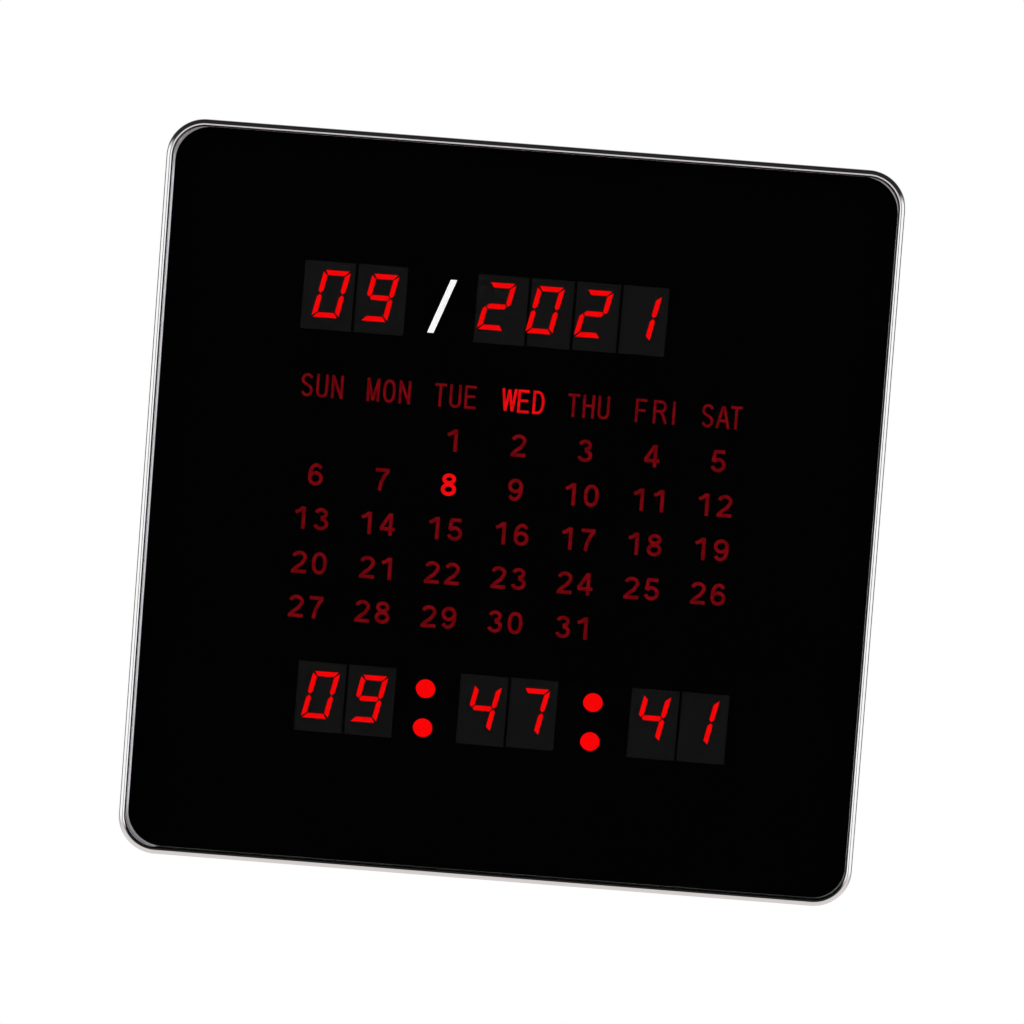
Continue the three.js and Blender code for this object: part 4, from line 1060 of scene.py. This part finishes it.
dim_words = [slab for column, word in enumerate(WEEKDAYS) if word != LIT_WEEKDAY
             for slab in word_slabs(word, column, 0)]
dim_dates = [slab for date in range(1, 32) if date != LIT_DATE for slab in date_slabs(date)]
lit_word = word_slabs(LIT_WEEKDAY, WEEKDAYS.index(LIT_WEEKDAY), 0)
add_print("weekday_print", dim_words, "unlit_print_painted_glow")
add_print("date_print", dim_dates, "unlit_print_painted_glow")
add_print("lit_weekday_print", lit_word, "lit_word_print")
add_print("lit_date_print", date_slabs(LIT_DATE), "lit_print")
slash = plate_mesh("slash", [SLASH], PRINT_FOOT, PRINT_FOOT + PRINT_THICKNESS)
add_print("slash_print", [slash], "white_print")

# %% [markdown]
# The back is plain moulded plastic, so its looks come from soft lips round every opening. Pieces there
# are built as they are moulded or machined: a body, what stands on it, then what is sunk into it. Each
# sunk shape flares at its mouth along a quarter circle, which leaves a rounded lip at the surface.

# %% Sunk and raised shapes
LIP = 0.25 * MM
LIP_STEPS = 4
OVERRUN = 0.5 * MM


def quarter_round(radius, steps=LIP_STEPS):
    """A quarter circle as pairs (radius (1 - sin a), radius (1 - cos a)), with a from 0 to 90 degrees."""
    turn = np.linspace(0, np.pi / 2, steps + 1)
    return radius * np.stack([1 - np.sin(turn), 1 - np.cos(turn)], axis=-1)


def lip_levels(surface, bottom, lip=LIP):
    """Growth and depth of a sunk outline: a quarter circle at its mouth, then straight to the bottom."""
    return np.concatenate([[(lip, surface - OVERRUN)], quarter_round(lip) + [0, surface], [(0, bottom)]])


def outline_stack(left, right, low, high, radius, levels):
    """A rounded rectangle at each (growth, depth) level. Its corner radius grows with it."""
    growth, depth = levels.T[:, :, None]
    sides, ends = (left - growth, right + growth), (low - growth, high + growth)
    return at_depth(rounded_outline(sides, ends, (radius + growth).repeat(4, axis=1)), depth)


def sunk_round(x, z, radius, bottom, surface=0.0, lip=LIP):
    return grid_mesh("sunk", turned(lip_levels(surface, bottom, lip) + [radius, 0], (x, 0, z)))


def sunk_box(left, right, low, high, radius, bottom, surface=0.0, lip=LIP):
    levels = lip_levels(surface, bottom, lip)
    return grid_mesh("sunk", outline_stack(left, right, low, high, radius, levels))


def soft_box(left, right, low, high, radius, near, far, edge):
    """A block between two depths whose edges there are rounded by a quarter circle."""
    rounding = quarter_round(edge)
    front, back = rounding * [-1, 1] + [0, near], rounding * [-1, -1] + [0, far]
    levels = np.concatenate([front, back[::-1]])
    return grid_mesh("block", outline_stack(left, right, low, high, radius, levels))


def combined(body, tools, operation):
    """One mesh of a body with tools added or taken away. The tools don't touch each other."""
    objects = [new_object("work", tidy_mesh(mesh)) for mesh in (body, joined_mesh("tools", tools))]
    modifier = objects[0].modifiers.new("combine", "BOOLEAN")
    modifier.operation, modifier.solver, modifier.object = operation, "MANIFOLD", objects[1]
    graph = bpy.context.evaluated_depsgraph_get()
    result = bpy.data.meshes.new_from_object(objects[0].evaluated_get(graph))
    for work in objects:
        mesh = work.data
        bpy.data.objects.remove(work)
        bpy.data.meshes.remove(mesh)
    return result


print("lip round an opening, mm:", round(LIP / MM, 2))

# %% [markdown]
# The rear cover is one pan that slips inside the bezel. Four columns take the cover screws, posts and pegs
# carry the board, three short tubes guide the buttons, and a square well holds the battery. From outside it
# shows two keyholes, the screw heads deep in their bores, vents, sound holes and a shallow bare recess.

# %% What stands on the cover and what is sunk into it
COVER_WALL = 2.4 * MM
DOOR_AXIS = (0, -1.4 * MM, 6.7 * MM)  # a point on the battery door's hinge line
ALONG_X = ((1, 0, 0), (0, 1, 0))  # an axis and a direction across it
SOUND_RING = [math.radians(turn) for turn in range(0, 360, 60)]
SPOTS = {
    # places on the back, as x and z in mm
    "screw": [(x, z) for x in (-84, 84) for z in (-84, 84)], "button": [(-56, z) for z in (-16, 0, 16)],
    "post": [(-69, -69), (69, -69)], "peg": [(-69, 69), (69, 69)], "keyhole": [(-52, 68), (52, 68)],
    "sound": [(-30, 40), *((-30 + 3.6 * math.cos(a), 40 + 3.6 * math.sin(a)) for a in SOUND_RING)],
    "finger_dip": [(38, -19.5)],
}
RODS = [
    # at which spots, then the radius and the end of each step in mm
    ("screw", (4.7, 12)), ("post", (3.5, 14.4)), ("peg", (3.5, 14.4), (1.5, 17.4)), ("button", (5.3, 6)),
]
WELL = np.array([22.3, 53.7, -21.2, 9.2, 0.3, 1.2, 9, 0.1]) * MM  # as soft_box takes them
THROUGH = (COVER_WALL + OVERRUN) / MM  # a bottom beyond the cover's wall
ROUND_SINKS = [
    # set, at which spots, then radius, bottom, surface and lip in mm
    ("wide", "screw", 3.05, 10, 0, 0.25), ("narrow", "screw", 1.6, 13, 10, 0.1),
    ("wide", "button", 6, 0.8, 0, 0.25), ("narrow", "button", 3.8, 7, 0.8, 0.15),
    ("wide", "keyhole", 4.5, THROUGH, 0, 0.25), ("wide", "sound", 1.1, THROUGH, 0, 0.15),
    ("narrow", "finger_dip", 6, 1.4, 0, 0.25),
]
BOX_SINKS = [
    # set, sides and ends, then corner radius, bottom, surface and lip in mm
    ("wide", 23.7, 52.3, -19.8, 7.8, 0.4, 10, 0, 0.25),  # way in for the battery
    ("wide", -32, 32, -61, -35, 1.5, 0.4, 0, 0.15),  # bare recess
    *(("wide", x - 1, x + 1, 58, 74, 0.9, THROUGH, 0, 0.25) for x in range(-15, 16, 5)),  # vents
    *(("narrow", x - 2.3, x + 2.3, z, 79.3, 2.2, THROUGH, 0, 0.25) for x, z in SPOTS["keyhole"]),
]
PILOT_BORE = np.array([(1.6, 7.7), (1.6, 16)]) * MM  # radius and depth at both ends
HINGE_BORE = np.array([(0.9, 22.6), (0.9, 53.4)]) * MM  # radius and x at both ends
PLUG_LEVELS = lip_levels(1 * MM, 4.9 * MM, 0.4 * MM) + [4.2 * MM, 0]  # radius, height over the lower side
PLUG_DEPTH = 8.1 * MM
print(sum(len(spots) for spots in SPOTS.values()), "round places and", len(BOX_SINKS), "boxes on the back")

# %% [markdown]
# The profile of the pan runs over its rounded outer edge, round the tongue that slips into the bezel, and
# back to the inside of the wall. It is carried round the square of the case. The openings could be holes
# in a curve, but they have depth and lips, so they are cut, in two goes, because one opening may run into
# another.

# %% Rear cover
COVER_INSET = 1 * MM
COVER_EDGE = 3 * MM
COVER_EDGE_STEPS = 12
COVER_FRONT = 17.7 * MM
TONGUE_INSET = 2 * MM
TONGUE_FRONT = 22 * MM
COVER_INNER = 3.4 * MM
COVER_BEND = 0.15 * MM


def cover_pan():
    edge = quarter_round(COVER_EDGE, COVER_EDGE_STEPS) + [COVER_INSET, 0]
    rest = softened([edge[-1], (COVER_INSET, COVER_FRONT), (TONGUE_INSET, COVER_FRONT),
                     (TONGUE_INSET, TONGUE_FRONT), (COVER_INNER, TONGUE_FRONT), (COVER_INNER, COVER_WALL)],
                    [0, COVER_BEND, 0, COVER_BEND, COVER_BEND, 0])
    profile = np.concatenate([edge, rest[SOFT_STEPS + 1:]])
    levels = np.stack([case_half - profile[:, 0], CASE_CORNER - profile[:, 0], profile[:, 1]], axis=-1)
    return grid_mesh("pan", square_loops(levels))


def rod(x, z, steps):
    """A stepped rod square to the wall, from the middle of the cover's own wall, all in mm."""
    profile = [(0, COVER_WALL / MM / 2)]
    for radius, end in steps:
        profile += [(radius, profile[-1][1]), (radius, end)]
    profile.append((0, profile[-1][1]))
    return grid_mesh("rod", turned(np.array(profile) * MM, (x * MM, 0, z * MM)))


def cover_features():
    rods = [rod(*spot, steps) for name, *steps in RODS for spot in SPOTS[name]]
    return [*rods, soft_box(*WELL)]


def cover_openings():
    """Two sets of sunk shapes, so that no two of a set touch."""
    sets = {"wide": [turned(PLUG_LEVELS, (0, -PLUG_DEPTH, -case_half), (0, 0, 1))],
            "narrow": [turned(HINGE_BORE, DOOR_AXIS, *ALONG_X)]}
    sets["narrow"] += [turned(PILOT_BORE, (x * MM, 0, z * MM)) for x, z in SPOTS["post"]]
    sets = {name: [grid_mesh("bore", bore) for bore in bores] for name, bores in sets.items()}
    for name, spots, *sizes in ROUND_SINKS:
        sets[name] += [sunk_round(*np.array([*spot, *sizes]) * MM) for spot in SPOTS[spots]]
    for name, *sizes in BOX_SINKS:
        sets[name].append(sunk_box(*np.array(sizes) * MM))
    return sets.values()


def add_cover():
    shell = combined(cover_pan(), cover_features(), "UNION")
    for openings in cover_openings():
        shell = combined(shell, openings, "DIFFERENCE")
    add_piece("rear_shell", shell, "black_plastic", stands_for=["rear_cover"], even=True)


add_cover()

# %% [markdown]
# The battery door is a plate with a rounded upper edge, a stub pin at each end of it and three grip
# grooves. The edge and the pins share one line, the hinge line, so they are turned about it and joined to
# the plate. That way the door swings without touching its frame.

# %% Battery door
DOOR_PLATE = np.array([24, 52, -19.5, 6.7, 0.5, 0.6, 2.2, 0.2]) * MM  # as soft_box takes them
DOOR_LINE = np.array([
    # radius about the hinge line and x: a stub pin, the rounded edge, the other stub pin
    (0, 22.9), (0.6, 22.9), (0.6, 24), (0.8, 24), (0.8, 52), (0.6, 52), (0.6, 53.1), (0, 53.1),
]) * MM
DOOR_BEND = 0.12 * MM
GRIPS = np.array([
    # as sunk_box takes them, one for each groove's middle height
    (32, 44, z - 0.45, z + 0.45, 0.4, 1.1, 0.6, 0.1) for z in (-14.5, -12.3, -10.1)
]) * MM


def add_battery_door():
    hinge = grid_mesh("hinge", turned(softened(DOOR_LINE, DOOR_BEND), DOOR_AXIS, *ALONG_X))
    door = combined(soft_box(*DOOR_PLATE), [hinge], "UNION")
    door = combined(door, [sunk_box(*grip) for grip in GRIPS], "DIFFERENCE")
    add_piece("door_panel", door, "black_plastic", "battery_door", ["battery_door"], even=True)


add_battery_door()
print("battery door with", len(GRIPS), "grooves")

# %% [markdown]
# A push button is a rubber cap with a slightly hollow end, a flange that its guide holds back, and a stem
# that rests on the switch. It is round all over, so one turned profile gives it in one go, where stacked
# cylinders would need a bevel on every edge.

# %% Buttons
BUTTON_PROFILE = np.array([
    # radius, depth from the wall, rounding
    (0, 0.6, 0), (1.6, 0.52, 0.5), (2.7, 0.3, 0.3), (3.1, 0.3, 0.15), (3.5, 0.7, 0.2), (3.5, 6.3, 0),
    (4.7, 6.3, 0.15), (4.7, 7.5, 0.15), (1.7, 7.5, 0), (1.7, 9.9, 0.15), (0, 9.9, 0),
]) * MM


def turned_mesh(node, profile):
    """Rows of (radius, depth, rounding) turned about the middle of a node."""
    middle = node_middle(node)
    return grid_mesh(node, turned(softened(profile[:, :2], profile[:, 2], 4), (middle.x, 0, middle.z)))


for button in ("set_button", "up_button", "down_button"):
    mesh = turned_mesh(button, BUTTON_PROFILE)
    add_piece(f"{button}_cap", mesh, "button_rubber", button, [button])

# %% [markdown]
# Cover screws have a low domed head with a cross recess. They sit at the bottom of their bores and bite
# into four bosses that stand on the bezel's ledge. The recess could be a dark mark in the finish, but a cut
# one catches the light from every side.

# %% Cover screws
SCREW_PROFILE = np.array([
    # radius, depth from the wall, rounding
    (0, 8.1, 0), (1.9, 8.1, 0.6), (2.75, 8.9, 0.4), (2.75, 10, 0.1), (1.3, 10, 0), (1.3, 19, 0.2),
    (0.5, 20, 0.2), (0, 20, 0),
]) * MM
CROSS = np.array([(1.6, 0.4), (0.4, 0.4), (0.4, 1.6), (-0.4, 1.6), (-0.4, 0.4), (-1.6, 0.4)]) * MM
CROSS_DEPTHS = (7.6 * MM, 9.2 * MM)
BOSS_RADII = (1.35 * MM, 3.3 * MM)
BOSS_BASE = ledge_rear + 0.5 * MM
BOSS_BEND = 0.2 * MM


def boss(x, z):
    """A tube from the ledge back to the column of the cover, which the screw bites into."""
    bore, outside = BOSS_RADII
    wall = [(bore, boss_foot), (outside, boss_foot), (outside, BOSS_BASE), (bore, BOSS_BASE)]
    return grid_mesh("boss", turned(softened(wall, BOSS_BEND, closed=True), (x, 0, z)), ring=True)


def add_cover_screw(node):
    middle = node_middle(node)
    cross = np.concatenate([CROSS, -CROSS]) + [middle.x, middle.z]
    recess = plate_mesh("recess", [cross], *CROSS_DEPTHS)
    bolt = combined(turned_mesh(node, SCREW_PROFILE), [recess], "DIFFERENCE")
    add_piece(node.replace("screw", "bolt"), bolt, "steel", stands_for=[node])


for node in [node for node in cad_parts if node.startswith("cover_screw")]:
    add_cover_screw(node)
bosses = [boss(x * MM, z * MM) for x, z in SPOTS["screw"]]
add_piece("bezel_bosses", joined_mesh("bosses", bosses), "bright_plating")

# %% [markdown]
# The power inlet stands on the board's lower tab and faces down through the plug hole. A block with soft
# edges is enough for its body. Its bore is lined up with the hole, and a steel pin stands in the middle.

# %% Power inlet
INLET_CORNER = 0.4 * MM
INLET_EDGE = 0.3 * MM
INLET_LEVELS = lip_levels(0, 9.5 * MM, 0.2 * MM) + [3.2 * MM, 0]  # radius, height over the mouth
INLET_PIN = np.array([
    # radius, height over the mouth, rounding
    (0, 0.5, 0), (1, 0.5, 0.6), (1, 9.6, 0), (0, 9.6, 0),
]) * MM


def add_power_inlet():
    low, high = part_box("dc_jack")
    line = ((0, -PLUG_DEPTH, low.z), (0, 0, 1))
    body = soft_box(low.x, high.x, low.z, high.z, INLET_CORNER, -high.y, -low.y, INLET_EDGE)
    body = combined(body, [grid_mesh("bore", turned(INLET_LEVELS, *line))], "DIFFERENCE")
    add_piece("inlet_body", body, "component_black", "case", ["dc_jack"], even=True)
    pin = turned(softened(INLET_PIN[:, :2], INLET_PIN[:, 2], 4), *line)
    add_piece("inlet_pin", grid_mesh("inlet_pin", pin), "steel")


add_power_inlet()

# %% [markdown]
# A pale floor lies well below the clock, as below a clock on a wall. It fades out at its rim into the
# white around it, so no edge shows behind the clock, and it only keeps the soft shadow. Mirror rays pass
# through it to the world's own level below.

# %% Floor
FLOOR_RADIUS = 1.1
FLOOR_DROP = 0.36
FLOOR_FADE = (0.45, 1.0)


def floor_finish():
    material, nodes = new_material("pale_floor")
    place = nodes.add("ShaderNodeTexCoord").outputs["Object"]
    parts = nodes.add("ShaderNodeSeparateXYZ", {0: place}).outputs
    square = nodes.math("ADD", nodes.math("POWER", parts["X"], 2.0), nodes.math("POWER", parts["Y"], 2.0))
    mirrored = nodes.add("ShaderNodeLightPath").outputs["Is Glossy Ray"]
    fade = nodes.math("MAXIMUM", nodes.ramp(nodes.math("SQRT", square), *FLOOR_FADE), mirrored)
    matt = nodes.add("ShaderNodeBsdfDiffuse", {"Color": (0.9, 0.9, 0.9, 1)})
    open_way = nodes.add("ShaderNodeBsdfTransparent")
    mixed = nodes.add("ShaderNodeMixShader", {0: fade, 1: matt.outputs[0], 2: open_way.outputs[0]})
    nodes.add("ShaderNodeOutputMaterial", {"Surface": mixed.outputs[0]})
    return material


def add_floor():
    rim = circle(0, 0, FLOOR_RADIUS)
    points = np.concatenate([rim, np.full((len(rim), 1), -FLOOR_DROP)], axis=1)
    mesh = bpy.data.meshes.new("floor")
    mesh.from_pydata(points.tolist(), [], [list(range(len(rim)))])
    mesh.materials.append(floor_finish())
    floor = new_object("floor", mesh)


add_floor()
print("floor, metres below the middle:", FLOOR_DROP)

# %% [markdown]
# Last, the colours are shown as they are, without the look of film. No finer piece may reach past the
# box of the imported model.

# %% View
bpy.context.scene.view_settings.view_transform = "Standard"
